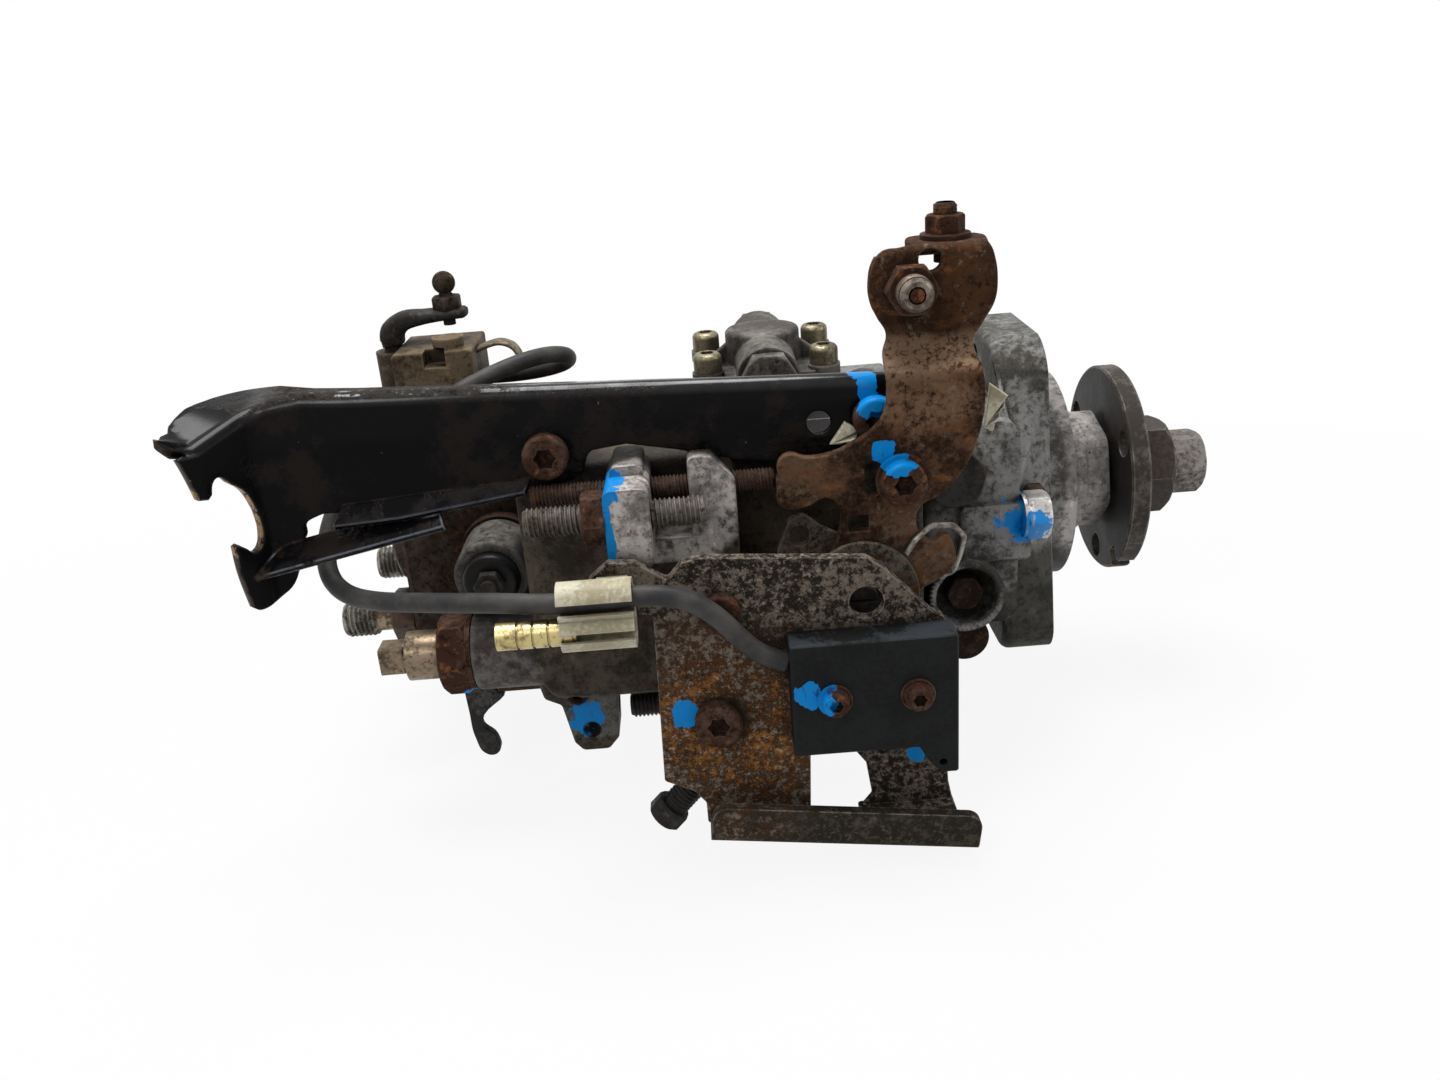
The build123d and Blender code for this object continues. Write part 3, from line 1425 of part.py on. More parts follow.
def adjuster():
    """Delivery adjuster: square end, ground barrel and threaded stem into the cover's boss."""
    place = along_x(0, adjuster_y, adjuster_z)
    nut_left = adjuster_boss_left - adjuster_nut_length
    half = adjuster_square / 2
    body = rod(place, 5.0, adjuster_boss_left - 5, cover_left + 15)
    body += rod(place, adjuster_barrel_radius, adjuster_barrel_left, nut_left)
    body += rod(place, 5.0, nut_left - 1, adjuster_boss_left)
    body += rod(place, half * 1.1, adjuster_barrel_left - 1.5, adjuster_barrel_left + 1)
    return body + slab(place, rectangle(-half, half, -half, half), adjuster_square_left, adjuster_barrel_left - 1.2, 1.0)


def adjuster_nut():
    """Lock nut of the adjuster with its washer."""
    place = along_x(0, adjuster_y, adjuster_z)
    washer = tube(place, adjuster_boss_radius - 0.5, 5.0, adjuster_boss_left - 1.5, adjuster_boss_left)
    nut = hex_bar(place, adjuster_nut_flats, adjuster_boss_left - adjuster_nut_length, adjuster_boss_left - 1.5)
    return [washer, nut - rod(place, 5.0, adjuster_boss_left - 20, adjuster_boss_left)]


def stop_lever():
    """Stop lever on its short shaft, hanging down and to the rear."""
    turn = radians(stop_lever_angle)
    place = Plane(
        origin=(stop_lever_x, stop_lever_y, stop_lever_z),
        x_dir=(0, cos(turn), sin(turn)),
        z_dir=(1, 0, 0),
    )
    length = stop_lever_length
    outline = [(-7, -7), (10, -7), (length * 0.55, -4), (length, -4.5), (length + 4, 0), (length, 4.5), (10, 7), (-7, 7)]
    body = slab(place, outline, 0, sheet_thickness, 2.0)
    body += rod(place, stop_shaft_radius, -4.0, cover_left - 1.5 - stop_lever_x)
    body += hex_bar(place, 10.0, -4.0, 0)
    return body - rod(place * Pos(length - 2, 0, 0), 2.2, -2, 5)


def valve_block():
    """Cast block of the load sensing valve on top of the head, with its spindle bearing."""
    width = valve_right - valve_left
    centre = (valve_left + valve_right) / 2
    bottom = valve_top - 18.0
    place = to_front(0, 0, 0)
    body = slab(place, rectangle(valve_left, valve_right, bottom, valve_top), -valve_rear_y, -valve_front_y, 1.0)
    body += rod(upward(valve_right - 8, -6, 0), 5.0, valve_top - 1, valve_top + 3.5)
    body -= slab(place, rectangle(valve_left + 10, valve_left + 17, valve_top - 5, valve_top + 1), 6, 14)
    body += rod(upward(valve_spindle_x, valve_spindle_y, 0), valve_spindle_radius + 3.0, bottom, valve_top - 2)
    body -= rod(upward(valve_spindle_x, valve_spindle_y, 0), valve_spindle_radius + running_gap, bottom + 3, valve_top + 5)
    for y in (-8.0, 10.0):
        body -= rod(upward(valve_right - 10, y, 0), 2.5, bottom - 1, bottom + 6)
    return body


def connector():
    """Plastic connector at the end of the cable, on the valve block's left side."""
    body = Pos(valve_left - 5.5, connector_y, connector_z) * Box(11.0, 12.0, 9.0)
    body = chamfer(body.edges().filter_by(Axis.Y), 0.8)
    return body


def spring_clip():
    """Bent flat strap on the right of the valve block."""
    section = [
        (valve_right, valve_top - 1.0),
        (valve_right + 13.5, valve_top - 2.0),
        (valve_right + 16.0, valve_top - 10.0),
        (valve_right + 14.8, valve_top - 10.2),
        (valve_right + 12.6, valve_top - 3.2),
        (valve_right + 1.2, valve_top - 2.2),
        (valve_right + 1.2, valve_top - 10.0),
        (valve_right, valve_top - 10.0),
    ]
    return slab(to_front(0, 0, 0), section, -4, 4)


def valve_lever():
    """Arched lever on the valve's spindle, carrying the ball stud."""
    top = valve_top + 9.0
    section = [
        (valve_spindle_x - 3.5, valve_top + 0.3),
        (valve_spindle_x - 3.5, top - 4),
        (valve_spindle_x + 1.5, top),
        (ball_stud_x + 6.0, top + 1.5),
        (ball_stud_x + 6.0, top - 2.0),
        (valve_spindle_x + 5.0, top - 4.0),
        (valve_spindle_x + 3.0, top - 7.0),
        (valve_spindle_x + 3.0, valve_top + 0.3),
    ]
    body = slab(to_front(0, valve_spindle_y, 0), section, -4.0, 4.0, 1.0)
    body += rod(upward(valve_spindle_x, valve_spindle_y, 0), valve_spindle_radius, valve_top - 14, valve_top)
    place = upward(ball_stud_x, valve_spindle_y, 0)
    centre = ball_stud_top - ball_radius
    body += hex_bar(place, 8.5, top, top + 4.4) + rod(place, 2.0, top - 5.0, centre)
    return body + place * Pos(0, 0, centre) * Sphere(ball_radius)


def hex_plug():
    """Large hexagon plug in the housing's shoulder."""
    place = to_front(-35.0, shoulder_face_y, 21.5)
    return hex_bar(place * Rot(0, 0, 12), 16.5, 0, 6.0)


def housing_bolts():
    """Bolts of the housing: in the recess, low at the rear of the flange, and the small one on its side."""
    deep = hex_bar(to_front(-32, shoulder_face_y - 1, -15.5), 10.0, 0, 4.0)
    deep += rod(to_front(-32, shoulder_face_y - 1, -15.5), 3.19, -15, 0)
    side = hex_bar(to_front(-8.0, -flange_half_width, 9.0), 7.0, 0, 5.5)
    low = screw(to_front(low_bolt_x, low_bolt_y, low_bolt_z), 7.5, 4.0, 3.0, 12.0)
    place = to_front(ear_hole_x, 0, ear_hole_z)
    ear = tube(place, 3.4, 1.7, 49, -adjuster_y + 4.5) + rod(place, 1.8, 49, 55)
    stud = rod(along_x(0, stud_y, stud_z), stud_radius, -136.0, -109.0)
    return [deep, side, low, ear, stud]


for build in (
    main_housing,
    governor_cover,
    shaft_bearing,
    shaft_seal,
    drive_shaft,
    drive_hub,
    nose_screw,
    governor_cage,
    governor_weights,
    thrust_sleeve,
    governor_arm,
    arm_pin,
    metering_valve,
    metering_link,
    governor_spring,
    rotor,
    plungers,
    roller_shoes,
    cam_ring,
    hydraulic_head,
    delivery_unions,
    transfer_liner,
    transfer_blades,
    end_plate,
    advance_housing,
    advance_plugs,
    advance_piston,
    advance_spring,
    advance_cap_screws,
    throttle_shaft,
    throttle_lever,
    throttle_screws,
    spring_plate,
    throttle_spring,
    fast_idle_lever,
    idle_screw,
    stop_screw,
    lock_nut,
    cable_bracket,
    bracket_screws,
    switch_bracket,
    switch_bracket_screws,
    rear_plate,
    idle_switch,
    switch_screws,
    switch_cable,
    cable_clip,
    brass_terminal,
    solenoid_body,
    solenoid_boot,
    solenoid_terminal,
    adjuster,
    adjuster_nut,
    stop_lever,
    valve_block,
    connector,
    spring_clip,
    valve_lever,
    hex_plug,
    housing_bolts,
):
    made = build()
    if isinstance(made, list):
        save(build.__name__, *made)
    else:
        save(build.__name__, made)
    print(build.__name__)
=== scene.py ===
import math

import bmesh
import bpy
import numpy as np
from mathutils import Matrix, Vector


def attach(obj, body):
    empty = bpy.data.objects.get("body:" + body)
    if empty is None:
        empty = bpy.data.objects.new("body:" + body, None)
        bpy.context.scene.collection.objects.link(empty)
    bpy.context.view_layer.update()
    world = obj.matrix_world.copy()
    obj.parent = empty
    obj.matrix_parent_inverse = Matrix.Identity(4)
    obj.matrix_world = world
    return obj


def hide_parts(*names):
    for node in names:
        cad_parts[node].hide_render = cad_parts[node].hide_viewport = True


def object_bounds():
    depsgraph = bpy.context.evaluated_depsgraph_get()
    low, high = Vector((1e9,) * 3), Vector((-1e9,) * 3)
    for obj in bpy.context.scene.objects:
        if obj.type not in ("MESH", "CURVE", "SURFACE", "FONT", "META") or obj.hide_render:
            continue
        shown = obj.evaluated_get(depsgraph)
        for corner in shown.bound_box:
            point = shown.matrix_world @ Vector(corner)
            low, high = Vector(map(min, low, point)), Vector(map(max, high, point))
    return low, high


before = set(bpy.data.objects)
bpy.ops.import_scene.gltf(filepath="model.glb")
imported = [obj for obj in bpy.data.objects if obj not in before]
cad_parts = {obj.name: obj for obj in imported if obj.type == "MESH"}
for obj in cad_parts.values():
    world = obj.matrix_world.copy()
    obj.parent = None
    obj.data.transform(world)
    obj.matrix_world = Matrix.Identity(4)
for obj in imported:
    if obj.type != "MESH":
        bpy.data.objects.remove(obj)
solids_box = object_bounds()


# Camera: held a little above the pump on its lever side, 39 cm in front of the drive axis, looking down on it and
# tilted by a few degrees.
def added(name, data):
    """An object in the scene."""
    thing = bpy.data.objects.new(name, data)
    bpy.context.scene.collection.objects.link(thing)
    return thing


look_down = math.radians(22)
tilt = math.radians(4.5)
eye = (-0.1045, -0.38856, 0.14103)
ahead = Vector((0, math.cos(look_down), -math.sin(look_down)))
level_right = Vector((1, 0, 0))
level_up = level_right.cross(ahead)
right = level_right * math.cos(tilt) - level_up * math.sin(tilt)
up = level_right * math.sin(tilt) + level_up * math.cos(tilt)
lens = bpy.data.cameras.new("camera")
lens.lens = 36 * 1205 / 1440
lens.clip_start = 0.01
camera = added("camera", lens)
camera.matrix_world = Matrix.Translation(eye) @ Matrix((right, up, -ahead)).transposed().to_4x4()
bpy.context.scene.camera = camera
bpy.context.scene.view_settings.view_transform = "Standard"


# Light: an open soft sky. One broad lamp above and behind, a weaker one over the left shoulder of whoever looks, and
# a faint one from the hub's end.
def lamp(name, place, aim, size, power):
    """Square area lamp at place, turned towards aim."""
    data = bpy.data.lights.new(name, "AREA")
    data.energy = power
    data.size = size
    thing = added(name, data)
    thing.location = place
    thing.rotation_euler = (Vector(aim) - Vector(place)).to_track_quat("-Z", "Y").to_euler()


lamp("sky_lamp", (-0.2, 0.1, 0.95), (-0.1, -0.03, 0), 0.55, 13)
lamp("shoulder_lamp", (-0.55, -0.75, 0.75), (-0.1, -0.05, 0), 0.4, 3.2)
lamp("right_lamp", (0.7, -0.3, 0.4), (-0.05, -0.05, 0), 0.35, 1.6)


# Switch lead: a round rubber-sheathed lead of 5.4 mm, about 0.32 m long. It leaves the idle switch, runs through
# the clip, goes round the bracket's end and ends in the plug on the valve block, where it makes a loop.
class Value:
    """A socket in a finish's nodes; arithmetic on it adds Math nodes."""

    def __init__(self, finish, socket):
        self.finish = finish
        self.socket = socket

    def math(self, operation, *values):
        return self.finish.node("Math", {"operation": operation}, *values)

    def __add__(self, other):
        return self.math("ADD", self, other)

    def __sub__(self, other):
        return self.math("SUBTRACT", self, other)

    def __rsub__(self, other):
        return self.math("SUBTRACT", other, self)

    def __mul__(self, other):
        return self.math("MULTIPLY", self, other)

    __radd__ = __add__
    __rmul__ = __mul__


class Finish:
    """One material: its shader, its place on the pump in metres, and the nodes that vary it."""

    def __init__(self, name, specular=0.1, **constants):
        self.material = bpy.data.materials.new(name)
        self.material.use_nodes = True
        self.tree = self.material.node_tree
        self.shader = self.tree.nodes["Principled BSDF"]
        self.put(self.shader.inputs["Specular IOR Level"], specular)
        for socket, value in constants.items():
            self.put(self.shader.inputs[socket.replace("_", " ")], value)
        self.place = self.node("TexCoord", {}, out="Object")

    def put(self, socket, value):
        if isinstance(value, Value):
            self.tree.links.new(value.socket, socket)
        elif socket.type == "RGBA" and len(value) == 3:
            socket.default_value = (*value, 1)
        else:
            socket.default_value = value

    def node(self, kind, settings, *values, out=0, **named):
        """Any shader node: its kind, its settings, then what goes into its sockets in order or by name."""
        made = self.tree.nodes.new("ShaderNode" + kind)
        for key, value in settings.items():
            setattr(made, key, value)
        for socket, value in zip(made.inputs, values):
            self.put(socket, value)
        for key, value in named.items():
            self.put(made.inputs[key], value)
        return Value(self, made.outputs[out])

    def vector(self, operation, one, two, out=0):
        return self.node("VectorMath", {"operation": operation}, one, two, out=out)

    def noise(self, size, detail=3, roughness=0.6, shift=0, stretch=(1, 1, 1)):
        """Noise of about that size in metres, 0 to 1."""
        where = self.node("Mapping", {}, self.place, (shift, shift, -shift), (0, 0, 0), stretch)
        return self.node("TexNoise", {}, Vector=where, Scale=0.5 / size, Detail=detail, Roughness=roughness)

    def noises(self, *settings):
        return [self.noise(*values) for values in settings]

    def step(self, value, low, high):
        """0 below low, 1 above high, smooth between; turned round where low is above high."""
        if low > high:
            return 1 - self.step(value, high, low)
        return self.node("MapRange", {"interpolation_type": "SMOOTHSTEP"}, value, low, high, 0, 1)

    def blots(self, value, ragged, amount, low, high):
        """The same step, with its edge made ragged by a second noise."""
        return self.step(value + (ragged - 0.5) * amount, low, high)

    def mix(self, one, two, share):
        """Colour between one and two."""
        made = self.tree.nodes.new("ShaderNodeMix")
        made.data_type = "RGBA"
        for key, value in ((0, share), (6, one), (7, two)):
            self.put(made.inputs[key], value)
        return Value(self, made.outputs[2])

    def coats(self, colour, *coats):
        """A colour under coats laid one after another, each (colour, share)."""
        for tint, share in coats:
            colour = self.mix(colour, tint, share)
        return colour

    def facing(self, direction):
        """How far the surface faces that way, -1 to 1."""
        normal = self.node("NewGeometry", {}, out="Normal")
        return self.vector("DOT_PRODUCT", normal, direction, "Value")

    def along(self, direction):
        """Distance along a direction in millimetres."""
        return self.vector("DOT_PRODUCT", self.place, [1000 * c for c in direction], "Value")

    def away(self, centre, reach):
        """Distance from a centre in millimetres, where 1 is the reach along each axis."""
        offset = self.vector("SUBTRACT", self.place, [c / 1000 for c in centre])
        scaled = self.vector("DIVIDE", offset, [r / 1000 for r in reach])
        return self.node("VectorMath", {"operation": "LENGTH"}, scaled, out="Value")

    def corner(self, radius=0.0006):
        """The normal with its corners rounded, and how much of a corner each point is."""
        rounded = self.node("Bevel", {"samples": 4}, Radius=radius)
        normal = self.node("NewGeometry", {}, out="Normal")
        same = self.vector("DOT_PRODUCT", rounded, normal, "Value")
        return rounded, self.step(1 - same, 0.015, 0.12)

    def shade_and_grime_in_hollows(self, reach=0.006):
        """1 deep in a corner or gap, 0 in the open; a colour laid with it is painted shade with grime in the hollows.
        """
        open_share = self.node("AmbientOcclusion", {"samples": 4}, Distance=reach, out="AO")
        return self.step(open_share, 0.85, 0.25)

    def bump(self, height, depth, normal=None):
        """Raises the surface by depth metres times height."""
        made = self.node("Bump", {}, Strength=1, Distance=depth, Height=height)
        if normal is not None:
            self.tree.links.new(normal.socket, made.socket.node.inputs["Normal"])
        self.put(self.shader.inputs["Normal"], made)

    def base(self, colour, roughness=None, metallic=None, coat=None):
        self.put(self.shader.inputs["Base Color"], colour)
        for socket, value in (("Roughness", roughness), ("Metallic", metallic), ("Coat Weight", coat)):
            if value is not None:
                self.put(self.shader.inputs[socket], value)
        return self.material


lead_radius = 0.0027
lead_route = [
    (-89.8, -107.5, -8.4), (-96, -107.8, -5.9), (-101.2, -109.2, 0.2), (-105.5, -110.4, 6.4), (-111.5, -111.5, 12.4),
    (-119.5, -112, 15.7), (-129, -112, 16), (-139, -111.8, 15.4), (-150, -110.7, 14.9),
    (-162, -107.3, 14.8), (-174, -102.5, 13.6), (-186, -97, 12.2), (-197.5, -91, 10.6),
    (-207.5, -84.5, 10.2), (-214.5, -76.5, 12.5), (-217, -67.5, 18), (-215.5, -58.5, 26),
    (-210, -49.5, 34), (-201, -38.5, 41), (-189.5, -27, 46.5), (-177.5, -18, 50.8),
    (-166, -11.5, 54), (-156.5, -5, 55), (-150, 2.5, 53), (-150, 10.5, 49), (-156.5, 17, 45.5),
    (-166.5, 20.5, 43.5), (-178, 21.8, 43), (-190, 21.3, 43.8), (-197.5, 20.6, 44.5), (-203.2, 20.2, 44.8),
]
curve = bpy.data.curves.new("switch_lead", "CURVE")
curve.dimensions = "3D"
curve.bevel_depth = lead_radius
curve.bevel_resolution = 8
curve.use_fill_caps = True
spline = curve.splines.new("NURBS")
spline.points.add(len(lead_route) - 1)
for point, (x, y, z) in zip(spline.points, lead_route):
    point.co = (x / 1000, y / 1000, z / 1000, 1)
spline.order_u = 3
spline.use_endpoint_u = True
spline.resolution_u = 12
switch_lead = added("switch_lead", curve)
sheath = Finish("lead_rubber", 0.25)
dust, scuff = sheath.noises((0.007, 5), (0.0009, 2, 0.5, 0.2, (0.25, 1, 1)))
colour = sheath.mix((0.017, 0.016, 0.016), (0.06, 0.055, 0.05), sheath.step(dust, 0.38, 0.7))
colour = sheath.mix(colour, (0.011, 0.01, 0.01), sheath.step(scuff, 0.6, 0.78) * 0.6)
sheath.bump(scuff + dust, 0.0001)
curve.materials.append(sheath.base(colour, 0.45 + 0.25 * dust))
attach(switch_lead, "pump")
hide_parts("switch_cable")


# Castings: the housing, the governor cover and the valve block are sand-blasted light alloy, grey-brown with oil and
# road dirt in the corners, which are darkened with painted shade too, and pale edges, worn and painted as a highlight;
# the turned pilot and nose stay bright. Blue paint marks where they were inspected.
def dabs(finish, colour, roughness, metallic, places):
    """Brushed blue paint over a colour: a streaked, ragged spot at each (centre, reach) in millimetres."""
    if not places:
        return colour, roughness, metallic
    ragged, streak = finish.noises((0.0024, 3, 0.6, 0.3), (0.0011, 2, 0.5, 0.9, (1, 1, 0.22)))
    thin = finish.blots(streak, ragged, 0.5, 0.6, 0.72)
    tint = finish.mix((0.001, 0.205, 0.55), (0.004, 0.1, 0.3), thin)
    for centre, reach in places:
        near = finish.away(centre, reach)
        spot = finish.step(near + (ragged - 0.5) * 1.3 + (streak - 0.5) * 0.8, 1.08, 0.98)
        spot = spot * (1 - thin * 0.55)
        colour = finish.mix(colour, tint, spot)
        roughness = roughness * (1 - spot) + spot * 0.42
        metallic = metallic * (1 - spot)
    return colour, roughness, metallic


def dress(material, *names):
    """Gives solids of the frame their finish."""
    for name in names:
        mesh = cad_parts[name].data
        mesh.materials.clear()
        mesh.materials.append(material)


def casting(name, clean, dirty, oil_and_hollow_shade, zones=(), spots=(), dirt_level=0.5):
    """Cast light alloy: clean metal, a brown film in blotches, black oil with painted shade in hollows,
    black oil in small pits, and pale edges that are worn and painted as a highlight. Each zone is
    (centre, reach, clean, dirty) in millimetres, where other colours hold."""
    finish = Finish(name, 0.15)
    rounded, edge = finish.corner(0.0012)
    film, fine, grain, pits = finish.noises(
        (0.012, 7, 0.68), (0.0012, 4, 0.72, 0.1), (0.0004, 2, 0.6, 0.4), (0.0016, 2, 0.5, 0.7)
    )
    scrape = finish.noise(0.0022, 4, 0.7, 1.3, (1, 1, 0.4))
    lies = finish.blots(film, fine, 0.55, dirt_level - 0.13, dirt_level + 0.1)
    colour = finish.mix(clean, dirty, lies)
    for centre, reach, zone_clean, zone_dirty in zones:
        zone = finish.step(finish.away(centre, reach) + (film - 0.5) * 0.5, 1.05, 0.9)
        colour = finish.mix(colour, finish.mix(zone_clean, zone_dirty, lies), zone)
    dark = finish.node("VectorMath", {"operation": "SCALE"}, colour, Scale=0.38)
    colour = finish.mix(colour, dark, finish.blots(fine, grain, 0.35, 0.5, 0.68) * 0.8)
    light = finish.node("VectorMath", {"operation": "SCALE"}, colour, Scale=1.8)
    colour = finish.coats(
        colour,
        (light, finish.blots(scrape, fine, 0.6, 0.58, 0.68) * 0.8),
        # Painted shade with the oil: the hollows are darkened to near black.
        (oil_and_hollow_shade, finish.shade_and_grime_in_hollows(0.009) * 0.92),
        # Pale edges: worn metal, and a painted edge highlight.
        ([min(0.5, c * 2) for c in clean], edge * finish.step(film, 0.62, 0.45) * 0.7),
        (oil_and_hollow_shade, finish.step(pits, 0.7, 0.76) * 0.7),
    )
    roughness = 0.66 - 0.22 * finish.step(fine, 0.5, 0.7)
    finish.bump(grain * 0.5 + fine - finish.step(pits, 0.66, 0.74) * 0.5 + film * 0.6, 0.00026, rounded)
    return finish.base(*dabs(finish, colour, roughness, 0.35 - 0.3 * lies, spots))


def bent(mesh, shape):
    """Moves a mesh's points, all at once, to shape(x, y, z) of where they are."""
    points = np.empty(3 * len(mesh.vertices), dtype=np.float32)
    mesh.vertices.foreach_get("co", points)
    places = np.broadcast_arrays(*shape(*points.reshape(-1, 3).T.astype(float)))
    mesh.vertices.foreach_set("co", np.stack(places, axis=-1).astype(np.float32).ravel())
    return mesh


def placed(name, mesh, material, body, sharp):
    """A piece from a mesh in metres, riding on a body, smooth but for edges past that angle in degrees."""
    mesh.materials.append(material)
    mesh.shade_smooth()
    mesh.set_sharp_from_angle(angle=math.radians(sharp))
    piece = added(name, mesh)
    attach(piece, body)
    return piece


def narrowed(x, y, z):
    """Draws in the flange's two upper corners: there y is taken times a share that falls from 0.67 to 0.47 as z
    rises; the flange is 16 mm thick, and its top hole lies between the corners."""
    on_flange = (x > -0.0165) & (x < 0.0008) & (z > 0.0425)
    in_corner = on_flange & (abs(y) > 0.016) & (abs(y) < 0.0445)
    share = np.interp(z, [0.043, 0.0475, 0.0505, 0.052], [0.668, 0.61, 0.54, 0.47])
    return x, np.where(in_corner, y * share, y), z


# Painted shadow: near-black colours put on the housing and the cover where the bracket's third hole looks through into
# shade.
painted_shadow_behind_hole = (0.012, 0.011, 0.01), (0.006, 0.005, 0.005)
housing_metal = casting(
    "housing_metal",
    (0.205, 0.2, 0.19),
    (0.05, 0.045, 0.038),
    (0.007, 0.006, 0.005),
    zones=[
        ((20, 0, 0), (19, 60, 60), (0.42, 0.39, 0.37), (0.2, 0.18, 0.17)),
        ((13, -20, 18), (6, 7, 6.5), (0.035, 0.031, 0.03), (0.02, 0.018, 0.018)),
        ((-72, -46, 40), (10, 18, 16), *painted_shadow_behind_hole),
        # Painted shade: the lower front of the housing, which lies in shadow, is painted darker.
        ((-6, -40, -50), (30, 40, 40), (0.06, 0.058, 0.048), (0.02, 0.019, 0.015)),
    ],
    spots=[((-13.5, -60, 6), (7.5, 7, 6.5)), ((-17, -48, 9), (6, 7, 6))],
    dirt_level=0.52,
)
cover_metal = casting(
    "cover_metal",
    (0.07, 0.056, 0.041),
    (0.018, 0.013, 0.008),
    (0.005, 0.004, 0.003),
    zones=[
        ((-117, -94, 30), (23, 22, 20), (0.5, 0.46, 0.43), (0.17, 0.15, 0.14)),
        ((-172, -58, -22), (14, 20, 18), (0.145, 0.13, 0.12), (0.05, 0.042, 0.038)),
        ((-74, -56, 42), (11, 20, 16), *painted_shadow_behind_hole),
        ((-148, -62, -44), (15, 20, 10), (0.12, 0.115, 0.1), (0.045, 0.04, 0.032)),
    ],
    spots=[
        ((-133, -90, 37.5), (4.5, 12, 3.4)),
        ((-134.6, -97, 27), (2.8, 6, 14)),
        ((-150, -62, -46.5), (5.5, 12, 6)),
        ((-180, -62, -35.5), (6, 12, 2.6)),
    ],
)
dress(cover_metal, "governor_cover")
dress(casting("valve_metal", (0.135, 0.098, 0.06), (0.04, 0.027, 0.016), (0.012, 0.009, 0.006)), "valve_block")
trimmed = bpy.data.meshes.new("trimmed_housing")
work = bmesh.new()
work.from_mesh(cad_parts["main_housing"].data)
bmesh.ops.remove_doubles(work, verts=work.verts, dist=0.000001)
work.to_mesh(trimmed)
work.free()
trimmed_housing = placed("trimmed_housing", bent(trimmed, narrowed), housing_metal, "pump", 28)
trimmed_housing.modifiers.new("even_shading", "WEIGHTED_NORMAL").keep_sharp = True
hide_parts("main_housing")


# Head and end plate: dark steel with a red-brown bloom. The same finish, in other colours, is on screws and bars.
def bloomed_steel(name, steel, brown, orange, share=0.5, spots=(), shine=0.4, specular=0.1):
    """Steel with surface rust: steel patches, brown film, orange flecks, dark pits, painted shade in hollows and pale
    edges, worn and painted as a highlight.
    """
    finish = Finish(name, specular)
    rounded, edge = finish.corner(0.0005)
    film, fine, fleck = finish.noises((0.007, 6, 0.7), (0.0009, 4, 0.7, 0.2), (0.0016, 3, 0.7, 0.6))
    colour = finish.coats(
        steel,
        (brown, finish.blots(film, fine, 0.6, share - 0.12, share + 0.1)),
        (orange, finish.blots(fleck, film, 0.6, 0.56, 0.7) * 0.8),
        ([c * 0.3 for c in brown], finish.step(fine, 0.55, 0.64) * 0.85),
        # Painted shade: the hollows are darkened to a deep brown.
        ([c * 0.2 for c in brown], finish.shade_and_grime_in_hollows(0.004) * 0.85),
        # Pale edges: worn steel, and a painted edge highlight.
        ([min(1, c * 2.2) for c in steel], edge * finish.step(fleck, 0.62, 0.45) * 0.65),
    )
    roughness = 0.88 - shine * finish.step(film, share + 0.1, share - 0.15)
    metallic = 0.1 + 0.5 * finish.step(film, share + 0.05, share - 0.15)
    finish.bump(fine + fleck * 0.6, 0.0002, rounded)
    return finish.base(*dabs(finish, colour, roughness, metallic, spots))


head_metal = bloomed_steel("head_metal", (0.06, 0.045, 0.036), (0.034, 0.021, 0.014), (0.12, 0.05, 0.022))
dress(head_metal, "hydraulic_head", "end_plate")

# Screws and small fittings: turned steel, brown with rust all over, the heads' sockets darkened with painted shade.
# Four carry blue paint.
screw_rust = bloomed_steel(
    "screw_rust", (0.085, 0.05, 0.036), (0.042, 0.019, 0.012), (0.17, 0.068, 0.028), share=0.42,
    spots=[
        ((-60.2, -82, 51.3), (5.5, 6, 4)),
        ((-80.6, -113, -16.6), (3.6, 6, 5)),
        ((-57, -92, 38.6), (5.5, 6, 3)),
        ((-178, -62, -34), (7, 14, 3)),
    ],
)
dress(screw_rust, "bracket_screws", "switch_bracket_screws", "switch_screws", "lock_nut", "adjuster_nut")
dress(screw_rust, "throttle_screws")


# Throttle lever: 3 mm sheet steel cut to shape, joggled back by 5.5 mm over one bend, with its top folded back as a
# tab and its toe turned in. It has rusted red-brown; a pale band over the bend is a painted highlight, and its upper
# part is darkened with dark rust and painted shade.
def blank(name, outlines, thickness, edge, columns=(), rows=()):
    """Flat sheet with rounded edges from closed outlines of (x, z) or (x, z, 1), in millimetres; a 1 rounds that
    point. The first outline is the outside and the others are holes. Returns a mesh that is cut at the columns
    and rows, for bending, with its thickness along the third axis, from 0."""
    curve = bpy.data.curves.new(name, "CURVE")
    curve.dimensions = "2D"
    curve.fill_mode = "BOTH"
    curve.extrude = thickness / 2 - edge
    curve.bevel_depth = edge
    curve.bevel_resolution = 2
    curve.offset = -edge
    curve.resolution_u = 6
    for outline in outlines:
        spline = curve.splines.new("BEZIER")
        spline.bezier_points.add(len(outline) - 1)
        for point, (x, z, *smooth) in zip(spline.bezier_points, outline):
            point.co = (x, z, 0)
            point.handle_left_type = point.handle_right_type = "AUTO" if smooth else "VECTOR"
        spline.use_cyclic_u = True
    holder = bpy.data.objects.new(name, curve)
    flat = bpy.data.meshes.new_from_object(holder)
    bpy.data.objects.remove(holder)
    bpy.data.curves.remove(curve)
    sheet = bmesh.new()
    sheet.from_mesh(flat)
    bmesh.ops.remove_doubles(sheet, verts=sheet.verts, dist=0.002)
    cuts = [((place, 0, 0), (1, 0, 0)) for place in columns] + [((0, place, 0), (0, 1, 0)) for place in rows]
    for point, normal in cuts:
        whole = sheet.verts[:] + sheet.edges[:] + sheet.faces[:]
        bmesh.ops.bisect_plane(sheet, geom=whole, plane_co=point, plane_no=normal)
    bmesh.ops.translate(sheet, vec=(0, 0, thickness / 2), verts=sheet.verts)
    sheet.to_mesh(flat)
    sheet.free()
    return flat


